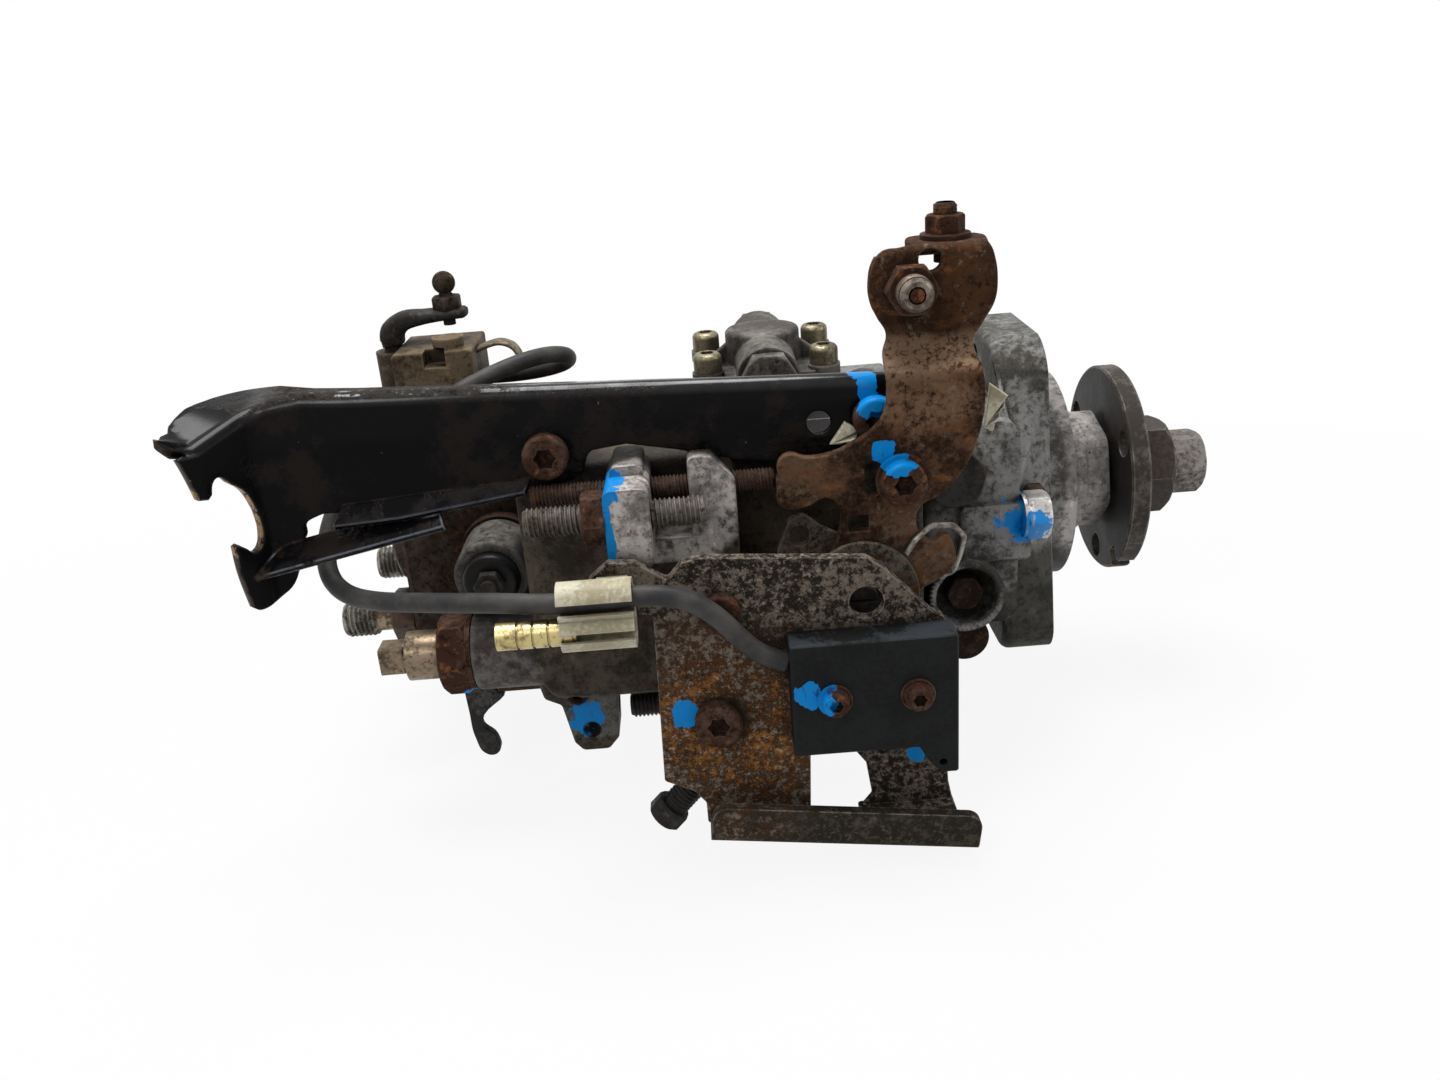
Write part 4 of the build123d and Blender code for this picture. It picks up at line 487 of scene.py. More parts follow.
def circle(x, z, radius):
    """Eight rounded points of a round hole."""
    turns = [math.pi * k / 4 for k in range(8)]
    return [(x + radius * math.cos(a), z + radius * math.sin(a), 1) for a in turns]


def made(name, sheets, material, body):
    """One piece from bent sheets in millimetres."""
    whole = bmesh.new()
    for sheet in sheets:
        whole.from_mesh(sheet)
        bpy.data.meshes.remove(sheet)
    bmesh.ops.triangulate(whole, faces=whole.faces[:])
    bmesh.ops.scale(whole, vec=(0.001, 0.001, 0.001), verts=whole.verts)
    bmesh.ops.recalc_face_normals(whole, faces=whole.faces)
    mesh = bpy.data.meshes.new(name)
    whole.to_mesh(mesh)
    whole.free()
    return placed(name, mesh, material, body, 32)


def lever_finish(name, light, dark, zones, spots=()):
    """Rusted sheet: light and dark brown, orange streaks, black pits, painted shade in hollows, and pale edges, worn
    and painted as a highlight; each zone is (centre, reach, colour, share).
    """
    finish = Finish(name, 0.08)
    rounded, edge = finish.corner(0.0006)
    film, fine, fleck, streak = finish.noises(
        (0.009, 7, 0.7), (0.0008, 4, 0.75, 0.2), (0.0018, 4, 0.75, 0.5), (0.0045, 5, 0.7, 0.9, (0.5, 1, 1))
    )
    colour = finish.coats(
        light,
        (dark, finish.blots(film, fine, 0.5, 0.38, 0.6)),
        ((0.25, 0.088, 0.026), finish.blots(streak, fine, 0.5, 0.53, 0.68) * 0.75),
    )
    for centre, reach, tint, share in zones:
        near = finish.step(finish.away(centre, reach) + (streak - 0.5) * 1.6, 1.15, 0.55)
        colour = finish.mix(colour, tint, near * finish.step(fine, 0.66, 0.4) * share)
    colour = finish.coats(
        colour,
        ((0.2, 0.145, 0.1), finish.blots(fleck, fine, 0.6, 0.56, 0.72) * 0.7),
        ([c * 0.22 for c in dark], finish.step(fine * 0.55 + film * 0.45, 0.5, 0.62) * 0.8),
        # Painted shade: the hollows are darkened to near black.
        ((0.008, 0.005, 0.003), finish.shade_and_grime_in_hollows(0.006) * 0.85),
        # Pale edges: worn rust, and a painted edge highlight.
        ((0.3, 0.22, 0.16), edge * finish.step(film, 0.62, 0.48) * 0.6),
    )
    roughness = 0.86 - 0.2 * finish.step(fleck, 0.5, 0.7)
    finish.bump(fine + fleck * 0.8 + film * 0.6, 0.00028, rounded)
    return finish.base(*dabs(finish, colour, roughness, 0.15 * fleck, spots))


lever_rust = lever_finish(
    "lever_rust",
    (0.105, 0.055, 0.032),
    (0.032, 0.016, 0.009),
    [
        # Painted highlight: a pale band across the joggle's bend, where it faces up.
        ((-48, -86, 65), (400, 400, 5.5), (0.36, 0.235, 0.15), 0.95),
        ((-48, -86, 53), (14, 40, 10), (0.2, 0.115, 0.066), 0.6),
        # Dark rust and painted shade over the lever's upper part.
        ((-48, -80, 83), (30, 40, 13), (0.028, 0.012, 0.006), 0.8),
        ((-38, -80, 80), (7, 40, 12), (0.15, 0.068, 0.026), 0.55),
        ((-82, -86, 35), (9, 40, 8), (0.115, 0.07, 0.042), 0.6),
        ((-50, -86, 14), (12, 40, 9), (0.125, 0.085, 0.06), 0.6),
        # More dark rust and painted shade over the upper part.
        ((-48, -80, 76), (36, 40, 18), (0.024, 0.011, 0.006), 0.6),
    ],
    [((-59.9, -87.5, 40.8), (3.2, 5, 3.2))],
)
lever_outline = [
    (35.9, 91), (35.9, 103, 1), (31, 106.2, 1), (19, 106.2, 1), (16.8, 103, 1), (16.8, 92.6),
    (13.5, 91.4, 1), (9.2, 90.8, 1), (6.5, 87.7, 1), (5.2, 82.5, 1), (5.6, 77.2, 1), (7.4, 73, 1), (9.6, 68.6, 1),
    (8.2, 63.3, 1), (8.6, 55.9, 1), (7.4, 48.8, 1), (4.4, 45.2, 1), (-0.5, 42.2, 1), (-6, 39.8, 1),
    (-12.8, 39.1, 1), (-18.2, 40.4, 1), (-20.7, 38.2, 1), (-20.6, 32.1, 1), (-21.6, 27.6, 1), (-19, 25, 1),
    (-13.5, 25.4, 1), (-8.2, 27.4, 1), (-5, 24, 1), (-5.5, 16.5, 1), (-10, 6, 1), (-10.6, -4, 1),
    (0, -11.2, 1), (11.6, -8.6, 1), (13.6, -4.4, 1), (17, -1.4, 1), (21, 0.9, 1), (25.7, 4.6, 1),
    (25.6, 11.4, 1), (23.2, 14.6, 1), (20.7, 12.5, 1), (17.2, 14.6, 1), (15.6, 18.6, 1), (16.6, 22.6, 1),
    (22.9, 26.4, 1), (30, 35.2, 1), (33.2, 44.8, 1), (34, 53.8, 1), (33.2, 59.6, 1), (31.9, 65.4, 1),
    (34.6, 70.4, 1), (37.5, 75.4, 1), (38.2, 81.3, 1), (37.3, 87.3, 1),
]
pivot_x, lever_front, pivot_z = -67, -87.5, 1.5
joggle, joggle_start, joggle_height = 5.5, 59.5, 7
fold_start, fold_radius = 88.6, 2.4
fold_arc = fold_radius * 1.57  # a quarter of a circle
screw_hole = 3.15


def lever_place(x, z, depth):
    """Bends the lever's blank. It moves back by 5.5 mm times 3 r^2 - 2 r^3, where r climbs from 0 to 1 up the joggle;
    above fold_start it turns back through a quarter circle and runs on level."""
    climb = np.clip((z - joggle_start) / joggle_height, 0, 1)
    turn = np.clip((z - fold_start) / fold_radius, 0, math.pi / 2)
    over = np.maximum(0, z - fold_start - fold_radius * math.pi / 2)
    back = joggle * climb * climb * (3 - 2 * climb) + fold_radius * (1 - np.cos(turn)) + over + depth * np.cos(turn)
    height = np.minimum(z, fold_start) + (fold_radius - depth) * np.sin(turn)
    return pivot_x + x, lever_front + back, pivot_z + height


lever_sheet = blank(
    "throttle_lever_sheet",
    [
        lever_outline,
        circle(21, 87.2, 3),
        circle(-55 - pivot_x, 32.7 - pivot_z, screw_hole),
        circle(-51.4 - pivot_x, 82 - pivot_z, screw_hole),
        circle(0, 0, 4.15),
        circle(-40.5 - pivot_x, fold_start + fold_arc + 6.9, screw_hole),
        [(2.6, 28, 1), (6.4, 28, 1), (6.9, 32, 1), (6.2, 36, 1), (2.8, 36, 1), (2.2, 32, 1)],
        [(-2.8, 17.2), (2.8, 17.2), (2.8, 21.8), (-2.8, 21.8)],
    ],
    3,
    0.45,
    rows=[58.5 + 0.9 * k for k in range(12)] + [fold_start + fold_arc * k / 5 for k in range(6)],
)
toe_left = -88.3
toe_sheet = blank("lever_toe", [[(-84.8, 29.5), (-84.8, 34.3), (-79, 34.3), (-79, 29.5)]], 3, 0.4)
bent(lever_sheet, lever_place)
bent(toe_sheet, lambda y, z, depth: (toe_left + depth, y, z))
throttle_lever_sheet = made("throttle_lever_sheet", [lever_sheet, toe_sheet], lever_rust, "throttle")
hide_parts("throttle_lever")

# Spring plate and fast idle lever: thinner sheet on the same shaft, greyer than the lever in front of them.
for name in ("spring_plate", "fast_idle_lever"):
    grey_part = ((-62, -88, 14), (30, 30, 9), (0.15, 0.125, 0.1), 0.7)
    dress(lever_finish(name + "_rust", (0.085, 0.066, 0.05), (0.026, 0.018, 0.012), [grey_part]), name)

# Cable bracket: 3 mm sheet in gloss black paint. A long web turns back at its top into a flange and, round a bend at
# its left end, into a fork with two notches; two more strips make its foot. Grit and flaking paint lie on top, and a
# painted highlight runs along the foot's front edges.
paint = Finish("bracket_paint", 0.045, Coat_Roughness=0.16)
rounded, edge = paint.corner(0.0009)
film, grit, ragged = paint.noises((0.014, 6, 0.65), (0.0011, 4, 0.75, 0.3), (0.004, 5, 0.72, 0.8))
across, height = paint.along((1, 0, 0)), paint.along((0, 0, 1))
flat_top = paint.step(paint.facing((0, 0, 1)), 0.35, 0.75) * paint.step(height, 52, 54)
far_back = paint.step(paint.along((-0.18, 1, 0)) + (ragged - 0.5) * 16, -42, -30)
left_end = paint.blots(across, ragged, 60, -128, -180)
crust = flat_top * paint.step(far_back + left_end * paint.step(ragged, 0.4, 0.5), 0.3, 0.7)
crust = crust * paint.blots(across, ragged, 20, -226, -218)
dull = paint.blots(film, ragged, 0.4, 0.5, 0.64)
speck = paint.step(paint.noise(0.0011, 1, 0.5, 0.9), 0.79, 0.82)
fork_side = paint.step(across, -226, -229)
in_notch = fork_side * paint.step(height, 24.5, 26.5) * paint.step(height, 47.5, 45.5)
cut_face = fork_side * paint.step(paint.facing((-0.643, -0.766, 0)), 0.35, 0.7)
foot_edge_highlight = edge * paint.step(height + 0.11 * paint.along((-1, 0, 0)), 56, 50)
foot_edge_highlight = foot_edge_highlight * paint.step(paint.along((0, -1, 0)), 79.5, 81)
colour = paint.coats(
    (0.0035, 0.0035, 0.0042),
    ((0.012, 0.009, 0.0075), dull),
    ((0.03, 0.026, 0.023), crust),
    ((0.135, 0.122, 0.112), crust * paint.blots(grit, ragged, 0.4, 0.56, 0.72)),
    ((0.008, 0.007, 0.007), crust * paint.step(grit, 0.46, 0.36) * 0.9),
    ((0.05, 0.036, 0.027), cut_face * paint.step(grit, 0.36, 0.56)),
    ((0.4, 0.26, 0.15), cut_face * in_notch * paint.step(grit, 0.38, 0.56)),
    ((0.06, 0.033, 0.02), edge * paint.step(ragged, 0.46, 0.6)),
    ((0.42, 0.27, 0.15), edge * in_notch * paint.step(grit, 0.4, 0.58)),
    # Painted highlight: a pale bluish line along the foot's front edges.
    ((0.3, 0.32, 0.38), foot_edge_highlight * (1 - fork_side) * paint.step(ragged, 0.36, 0.5)),
    ((0.2, 0.18, 0.16), speck * 0.5),
)
spots = [
    ((-62.6, -77, 56.5), (2.6, 6, 4.2)), ((-61.2, -78, 50), (2.8, 4, 4.6)),
    ((-64.2, -74, 59), (3.4, 5, 1.4)),
]
paint.bump(grit * crust * 1.6 + dull * 0.5 + film * 0.3, 0.0005, rounded)
above = paint.step(paint.facing((0, -0.45, 0.89)), 0.35, 0.95)
smooth = above * paint.step(height, 50, 54) * (1 - crust) * (1 - 0.72 * fork_side)
gloss = 0.6 * smooth * (0.45 + 0.55 * paint.step(film, 0.62, 0.42))
bracket_paint = paint.base(*dabs(paint, colour, 0.17 + 0.22 * dull + 0.55 * crust, 0, spots), gloss)

bend_x, web_y, bend_radius, ridge_radius = -225, -78, 7, 3.6
fold_angle = math.radians(50)
fork_left = bend_x - 20.35


def ridge_height(u):
    """Height of the top flange at a distance u right of the bend; the fork is at negative u."""
    stations = [-27, -23, -18.8, -10.8, -1.5, 3.8, 13, 25, 168]
    return np.interp(u, stations, [63.6, 58.8, 57.2, 59.8, 62.8, 64.4, 65.6, 64.8, 59])


def bracket_place(u, q, depth):
    """Bends the bracket's flat sheet. u runs along the web, round an arc of the bend radius and straight on into the
    fork; q is the height above the ridge: it goes straight up, round a quarter circle, then back, where it also
    climbs or falls by a share of how far back it is; depth is through the sheet."""
    half = bend_radius * math.tan(fold_angle / 2)
    turn = np.clip(fold_angle * (half - u) / (2 * half), 0, fold_angle)
    past = np.minimum(0, u + half)
    x = bend_x + half - bend_radius * np.sin(turn) + np.maximum(0, u - half) + past * math.cos(fold_angle)
    y = web_y - bend_radius * (1 - np.cos(turn)) + past * math.sin(fold_angle)
    lean = np.clip((q + ridge_radius) / ridge_radius, 0, math.pi / 2)
    over = np.maximum(0, q + ridge_radius - ridge_radius * math.pi / 2)
    back = ridge_radius * (1 - np.cos(lean)) + over + depth * np.cos(lean)
    rise = np.interp(u, [-28, -14, -8, 2, 13, 40, 168], [5, 6.6, 5.4, 1.8, -2.2, -2.4, -4]) * over / 14
    height = ridge_height(u) + np.minimum(q, -ridge_radius) + (ridge_radius - depth) * np.sin(lean) + rise
    return np.maximum(x - np.sin(turn) * back, fork_left), y + np.cos(turn) * back, height


# The web's and fork's edge is (distance from the bend, height), the notch under the fork's roof is in the flat sheet
# and the flange's rear edge is (distance from the bend, how far it falls short of the flange's depth).
web_edge = [
    (168, 41.5, 1), (88, 44.3, 1), (84, 37.5, 1), (75, 35.3, 1), (19.3, 32), (11, 31.5, 1), (7.5, 29.3, 1),
    (7, 26.2, 1), (4, 21.5, 1), (1.3, 12.5, 1), (-4, 9.4, 1), (-9.6, 8.4, 1), (-11.6, 9.8), (-12.9, 20.5, 1),
    (-12.9, 28.2), (-11.8, 28.6), (-9.7, 26.7, 1), (-7.6, 24.9, 1), (-5.9, 25.8, 1), (-4.6, 29.2, 1),
    (-4.5, 33.5, 1), (-5.4, 38.1, 1), (-7.3, 42.5, 1), (-10.4, 45.6, 1), (-12.8, 47.9, 1), (-14.2, 47.4, 1),
    (-15.6, 44), (-16.8, 43), (-19.4, 43.6), (-20.9, 50.4, 1),
]
roof_notch = [(-22.4, -2.8), (-21, -1.8), (-19.3, -0.9, 1), (-20, -0.2, 1), (-25.4, -0.4, 1), (-25.9, 0.4, 1)]
rear_edge = [
    (-24.8, 0.6), (-23.8, 0), (-22.6, 1), (-21.4, 0.1), (-18.4, 0.6), (-17, -0.2), (-10.5, 0.2), (-4, 0.6),
    (0, 0), (6, 0), (80, 0), (160, 0), (168, 3),
]
bracket_outline = [(u, z - ridge_height(u), *smooth) for u, z, *smooth in web_edge] + roof_notch
for u, less in rear_edge:
    flange_depth = np.interp(u, [-27, -22, -14, -8, 5, 15, 160], [3, 9, 13.7, 15, 15, 14, 14])
    bracket_outline.append((u, flange_depth - less - ridge_radius * (2 - math.pi / 2)))
bracket_outline.append((168, -ridge_radius))
bracket_holes = [(-149.4, 44.2), (-60.5, 47.5), (-75.6, 47)]
main_sheet = blank(
    "cable_bracket_sheet",
    [bracket_outline, *(circle(x - bend_x, z - ridge_height(x - bend_x), 3.3) for x, z in bracket_holes)],
    3,
    0.5,
    [-17 + 2.5 * k for k in range(6)] + [-3.7 + 0.75 * k for k in range(11)] + [6, 9, 13, 18, 25]
    + [25 + 20 * k for k in range(1, 7)],
    [-ridge_radius + ridge_radius * math.pi / 16 * k for k in range(9)] + [-22, -12, 6, 10],
)
bent(main_sheet, bracket_place)


def strip(name, origin, across, down, outline, thickness):
    """Flat strip: from the origin it goes its first distance across, its second down and its third through both."""
    across, down = Vector(across).normalized(), Vector(down).normalized()
    axes = np.array([across, down, across.cross(down).normalized()]).T
    sheet = blank(name, [outline], thickness, 0.3)
    return bent(sheet, lambda *reach: np.array(origin)[:, None] + axes @ np.array(reach))


foot = strip(
    "bracket_foot", (-157, -77, 36.4), (-1, 0, -0.07), (0, -0.74, -0.67),
    [(-3, 0), (-1, 4.2), (33, 6.6), (51.5, 6.2), (49, 0)], 2.2,
)
brace = strip(
    "bracket_brace", (-216.1, -77.4, 26.2), (0.981, 0, 0.196), (0, -0.862, -0.507),
    [(-9, 0), (-15.8, 9.6), (38.8, 9.6), (36, 0)], 2,
)
cable_bracket_sheet = made("cable_bracket_sheet", [main_sheet, foot, brace], bracket_paint, "pump")
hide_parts("cable_bracket")

# Switch bracket and its rear plate: plated sheet gone grey-brown, speckled white and orange, with rust round the
# screws, a darker lip, painted shade in its hollows and pale edges, worn and painted as a highlight; both are screwed
# to the cover's pads.
plate = Finish("switch_plate", 0.1)
rounded, edge = plate.corner(0.0006)
film, fleck, white = plate.noises((0.012, 6, 0.68), (0.0011, 4, 0.75, 0.3), (0.0007, 3, 0.7, 0.8))
rusty = plate.step(plate.away((-104, -103, -30), (30, 60, 34)) + (film - 0.5) * 2, 1.2, 0.6)
in_lip = plate.step(plate.along((0, -1, 0)), 106.5, 108.5)
round_screw = plate.away((-108.2, -103, -27.5), (9.5, 9, 9.5)) + (film - 0.5) * 0.5
colour = plate.coats(
    (0.155, 0.125, 0.098),
    ((0.016, 0.012, 0.009), plate.blots(fleck, film, 0.5, 0.4, 0.56)),
    ((0.05, 0.022, 0.009), rusty * plate.blots(fleck, film, 0.4, 0.36, 0.5)),
    ((0.27, 0.115, 0.032), rusty * plate.blots(fleck, film, 0.9, 0.52, 0.68) * 0.8),
    ((0.34, 0.29, 0.23), plate.blots(white, film, 0.25, 0.58, 0.68) * 0.6),
    ((0.009, 0.007, 0.006), plate.step(white, 0.42, 0.34) * 0.8),
    ((0.022, 0.019, 0.013), in_lip * plate.step(film, 0.36, 0.48) * 0.75),
    ((0.016, 0.008, 0.005), plate.step(round_screw, 1.05, 0.7) * 0.8),
    # Pale edges: worn plating, and a painted edge highlight.
    ((0.42, 0.37, 0.31), edge * plate.step(fleck, 0.65, 0.45) * 0.7),
    # Painted shade: the hollows are darkened to near black.
    ((0.01, 0.007, 0.005), plate.shade_and_grime_in_hollows(0.006) * 0.8),
)
plate.bump(fleck + white * 0.6 + film * 0.6, 0.00022, rounded)
roughness = 0.78 - 0.2 * plate.step(white, 0.5, 0.7)
spots = [((-117.8, -103, -24.4), (3.6, 5, 4.4)), ((-54.5, -100, -44.5), (2.6, 8, 2.6))]
dress(plate.base(*dabs(plate, colour, roughness, 0.12 + 0.1 * film, spots)), "switch_bracket", "rear_plate")


# Plastics and rubber: the switch box, the cream clip and the beige plug are moulded plastic; the solenoid's boot and
# the shaft seal are black rubber.
def moulded(name, light, dark, roughness, grain, spots=(), dust=None, specular=0.1, **constants):
    """Moulded plastic or rubber: one colour clouded towards another, a fine grain, rounded corners, dust on top,
    painted shade in hollows and edges painted lighter as a highlight.
    """
    finish = Finish(name, specular, **constants)
    rounded, edge = finish.corner(0.0005)
    cloud, fine = finish.noises((0.008, 5, 0.6), (0.0006, 3, 0.6, 0.3))
    colour = finish.mix(light, dark, finish.blots(cloud, fine, 0.5, 0.4, 0.62))
    if dust is not None:
        top = finish.step(finish.facing((0, 0, 1)), 0.3, 0.8)
        colour = finish.mix(colour, dust, top * finish.blots(cloud, fine, 0.5, 0.62, 0.45) * 0.8)
    # Painted shade: the hollows are darkened.
    colour = finish.mix(colour, [c * 0.35 for c in dark], finish.shade_and_grime_in_hollows(0.003) * 0.8)
    # Painted highlight: the edges are made lighter.
    colour = finish.mix(colour, [min(0.8, c * 2 + 0.008) for c in light], edge * 0.4)
    finish.bump(fine, grain, rounded)
    return finish.base(*dabs(finish, colour, roughness + 0.14 * (cloud - 0.5), 0, spots))


dress(moulded(
    "switch_plastic", (0.0095, 0.01, 0.01), (0.0055, 0.0058, 0.006), 0.55, 0.00006,
    spots=[((-84.2, -112, -16.6), (3.6, 5, 4))], dust=(0.03, 0.034, 0.04),
), "idle_switch")
dress(moulded(
    "clip_plastic", (0.52, 0.49, 0.37), (0.33, 0.29, 0.19), 0.35, 0.00005,
    Subsurface_Weight=0.2, Subsurface_Scale=0.002,
), "cable_clip")
dress(moulded("plug_plastic", (0.22, 0.175, 0.115), (0.12, 0.09, 0.055), 0.6, 0.00006), "connector")
black_rubber = moulded("boot_rubber", (0.0075, 0.0072, 0.007), (0.014, 0.012, 0.011), 0.35, 0.00005)
dress(black_rubber, "solenoid_boot", "shaft_seal")


# Machined pieces: the working parts inside and the turned fittings, bright ground steel, bronze, brass and zinc under
# a thin film of oil and dust.
def machined(name, metal, film_colour, share, roughness=0.32, spots=()):
    """Machined metal: bright where it is clean, dull brown-grey where the film lies, with painted shade in hollows and
    pale edges, worn and painted as a highlight.
    """
    finish = Finish(name, 0.4)
    rounded, edge = finish.corner(0.0004)
    film, fine = finish.noises((0.006, 6, 0.7), (0.0008, 4, 0.72, 0.4))
    lies = finish.blots(film, fine, 0.6, share + 0.12, share - 0.1)
    colour = finish.coats(
        film_colour,
        (metal, lies),
        # Pale edges: worn metal, and a painted edge highlight.
        ([min(0.8, c * 1.5) for c in metal], edge * 0.5),
        ([c * 0.3 for c in film_colour], finish.step(fine, 0.56, 0.66) * 0.6),
        # Painted shade: the hollows are darkened.
        ([c * 0.2 for c in film_colour], finish.shade_and_grime_in_hollows(0.004) * 0.85),
    )
    finish.bump(fine, 0.00008, rounded)
    return finish.base(*dabs(finish, colour, roughness + 0.35 * (1 - lies), 0.3 + 0.6 * lies, spots))


dress(
    machined("ground_steel", (0.38, 0.36, 0.34), (0.12, 0.1, 0.085), 0.55),
    "arm_pin", "advance_spring", "governor_spring", "governor_cage", "governor_weights", "rotor", "plungers",
    "roller_shoes", "transfer_blades", "thrust_sleeve", "governor_arm", "metering_link", "metering_valve",
    "cam_ring", "advance_piston", "transfer_liner",
)
dress(machined("screw_end_steel", (0.18, 0.165, 0.15), (0.07, 0.055, 0.045), 0.5, 0.42), "nose_screw")
dress(machined("bush_bronze", (0.5, 0.3, 0.12), (0.18, 0.1, 0.05), 0.6), "shaft_bearing")
dress(machined("terminal_brass", (0.52, 0.43, 0.2), (0.25, 0.18, 0.07), 0.6, 0.28), "brass_terminal")
dress(machined("dull_zinc", (0.22, 0.19, 0.12), (0.07, 0.055, 0.035), 0.5, 0.38), "advance_cap_screws")
dress(machined("adjuster_steel", (0.22, 0.165, 0.11), (0.085, 0.058, 0.036), 0.52, 0.34), "adjuster")
dress(machined("spring_wire", (0.3, 0.28, 0.25), (0.11, 0.09, 0.075), 0.52, 0.4), "throttle_spring")

# Smaller castings and oiled or rusty steel: the advance housing with its plugs and the solenoid's body are light
# alloy; the shafts and the plug are oiled black and the housing's bolts are brown.
light_alloy = casting(
    "light_alloy", (0.135, 0.125, 0.112), (0.045, 0.038, 0.032), (0.01, 0.009, 0.008), dirt_level=0.52,
    spots=[((-9, -62, 5), (4, 6, 5))],
)
dress(light_alloy, "advance_housing", "advance_plugs", "solenoid_body")
oiled_steel = bloomed_steel(
    "oiled_steel", (0.022, 0.02, 0.018), (0.012, 0.01, 0.008), (0.045, 0.028, 0.018), shine=0.5, specular=0.3
)
dress(oiled_steel, "drive_shaft", "solenoid_terminal", "hex_plug", "throttle_shaft")
bolt_rust = bloomed_steel("bolt_rust", (0.04, 0.026, 0.019), (0.018, 0.01, 0.007), (0.075, 0.035, 0.018), share=0.44)
dress(bolt_rust, "housing_bolts")

# Drive hub: a dark blued steel disc with a brown rim, bright at its edges, worn and painted as a highlight, and a
# rusty hexagon that clamps it on the shaft's taper.
hub = Finish("hub_steel", 0.25)
rounded, edge = hub.corner(0.0006)
film, fine = hub.noises((0.008, 6, 0.68), (0.0009, 4, 0.72, 0.4))
side = hub.facing((1, 0, 0))
face = hub.step(side.math("ABSOLUTE", side), 0.7, 0.9)
rim = hub.mix((0.075, 0.062, 0.05), (0.026, 0.021, 0.017), hub.blots(film, fine, 0.5, 0.4, 0.56))
flat = hub.mix((0.012, 0.011, 0.0105), (0.03, 0.022, 0.017), hub.blots(film, fine, 0.5, 0.52, 0.66))
hexagon = hub.step(hub.along((1, 0, 0)), 32.9, 33.2)
rust = hub.mix((0.03, 0.02, 0.015), (0.013, 0.008, 0.006), hub.step(fine, 0.45, 0.58))
colour = hub.coats(
    # Pale edges: worn steel, and a painted edge highlight.
    rim, (flat, face), (rust, hexagon), ((0.3, 0.28, 0.25), edge * hub.step(film, 0.64, 0.45) * 0.85)
)
hub.bump(fine + film * 0.4, 0.0001, rounded)
dress(hub.base(colour, 0.36 + 0.35 * film, 0.45 - 0.35 * hexagon), "drive_hub")


# Idle screw and stop screw: threaded rods that the lever rests on, 6 and 8 mm, rusty and grey, through the lugs of
# the cover.
def tube(name, rings, material, body, sharp):
    """A piece from rings of points in millimetres, each joined to the next by squares, the first and last closed."""
    grid = np.arange(rings.shape[0] * rings.shape[1]).reshape(rings.shape[:2])
    beside = np.roll(grid, -1, 1)
    squares = np.stack([grid[:-1], beside[:-1], beside[1:], grid[1:]], axis=-1).reshape(-1, 4)
    mesh = bpy.data.meshes.new(name)
    faces = squares.tolist() + [grid[0][::-1].tolist(), grid[-1].tolist()]
    mesh.from_pydata((rings.reshape(-1, 3) / 1000).tolist(), [], faces)
    return placed(name, mesh, material, body, sharp)


def turned(name, place, along, rows, material, body="pump", pitch=1, turns=72):
    """A surface round an axis. Each row is (distance, radius, half flats, thread depth), in millimetres, and what is
    left off is 0: the radius is cut back to a hexagon, half flats over the cosine of the angle from the nearest
    flat, and by the thread depth times half of 1 - cos(distance / pitch - angle) in whole turns."""
    rows = np.array([(*row, 0, 0)[:4] for row in rows], dtype=float)
    steps = []
    for one, two in zip(rows[:-1], rows[1:]):
        count = max(1, int(abs(two[0] - one[0]) / (pitch / 8))) if max(one[3], two[3]) > 0 else 1
        steps.append(one + (two - one) * np.linspace(0, 1, count, endpoint=False)[:, None])
    rows = np.concatenate([*steps, rows[-1:]])
    angle = np.linspace(0, 2 * math.pi, turns, endpoint=False)[None, :]
    distance, radius, flats, depth = (rows[:, k][:, None] for k in range(4))
    sector = (angle + math.pi / 6) % (math.pi / 3) - math.pi / 6
    limit = np.where(flats > 0, flats / np.cos(sector), 1e6)
    groove = 0.5 - 0.5 * np.cos(2 * math.pi * (distance / pitch - angle / (2 * math.pi)))
    size = np.minimum(radius, limit) - depth * groove
    along = Vector(along).normalized()
    first = (Vector((0, 1, 0)) if abs(along[1]) < 0.9 else Vector((1, 0, 0))).cross(along).normalized()
    second = along.cross(first)
    across = (size * np.cos(angle))[..., None] * np.array(first) + (size * np.sin(angle))[..., None] * np.array(second)
    return tube(name, np.array(place) + distance[..., None] * np.array(along) + across, material, body, 35)


thread_rust = bloomed_steel(
    "thread_rust", (0.085, 0.055, 0.042), (0.04, 0.02, 0.014), (0.13, 0.055, 0.027), share=0.44
)
thread_steel = bloomed_steel(
    "thread_steel", (0.13, 0.115, 0.1), (0.05, 0.036, 0.026), (0.1, 0.055, 0.033), share=0.54
)
idle_screw = turned("idle_screw_threaded", (0, -80.5, 33.5), (1, 0, 0), [
    (-154.5, 2.3), (-153.9, 2.95, 0, 0.3), (-153.3, 3, 0, 0.5), (-89.8, 3, 0, 0.5), (-89.2, 2.8, 0, 0.2),
    (-88.6, 2.3),
], thread_rust)
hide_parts("idle_screw")
stop_screw = turned("stop_screw_threaded", (0, -91.5, 30), (1, 0, 0), [
    (-155.6, 3.2), (-154.8, 3.9, 0, 0.4), (-154, 4, 0, 0.65), (-109, 4, 0, 0.65), (-108.3, 3.8, 0, 0.3),
    (-107.5, 3.1),
], thread_steel, pitch=1.25)
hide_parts("stop_screw")

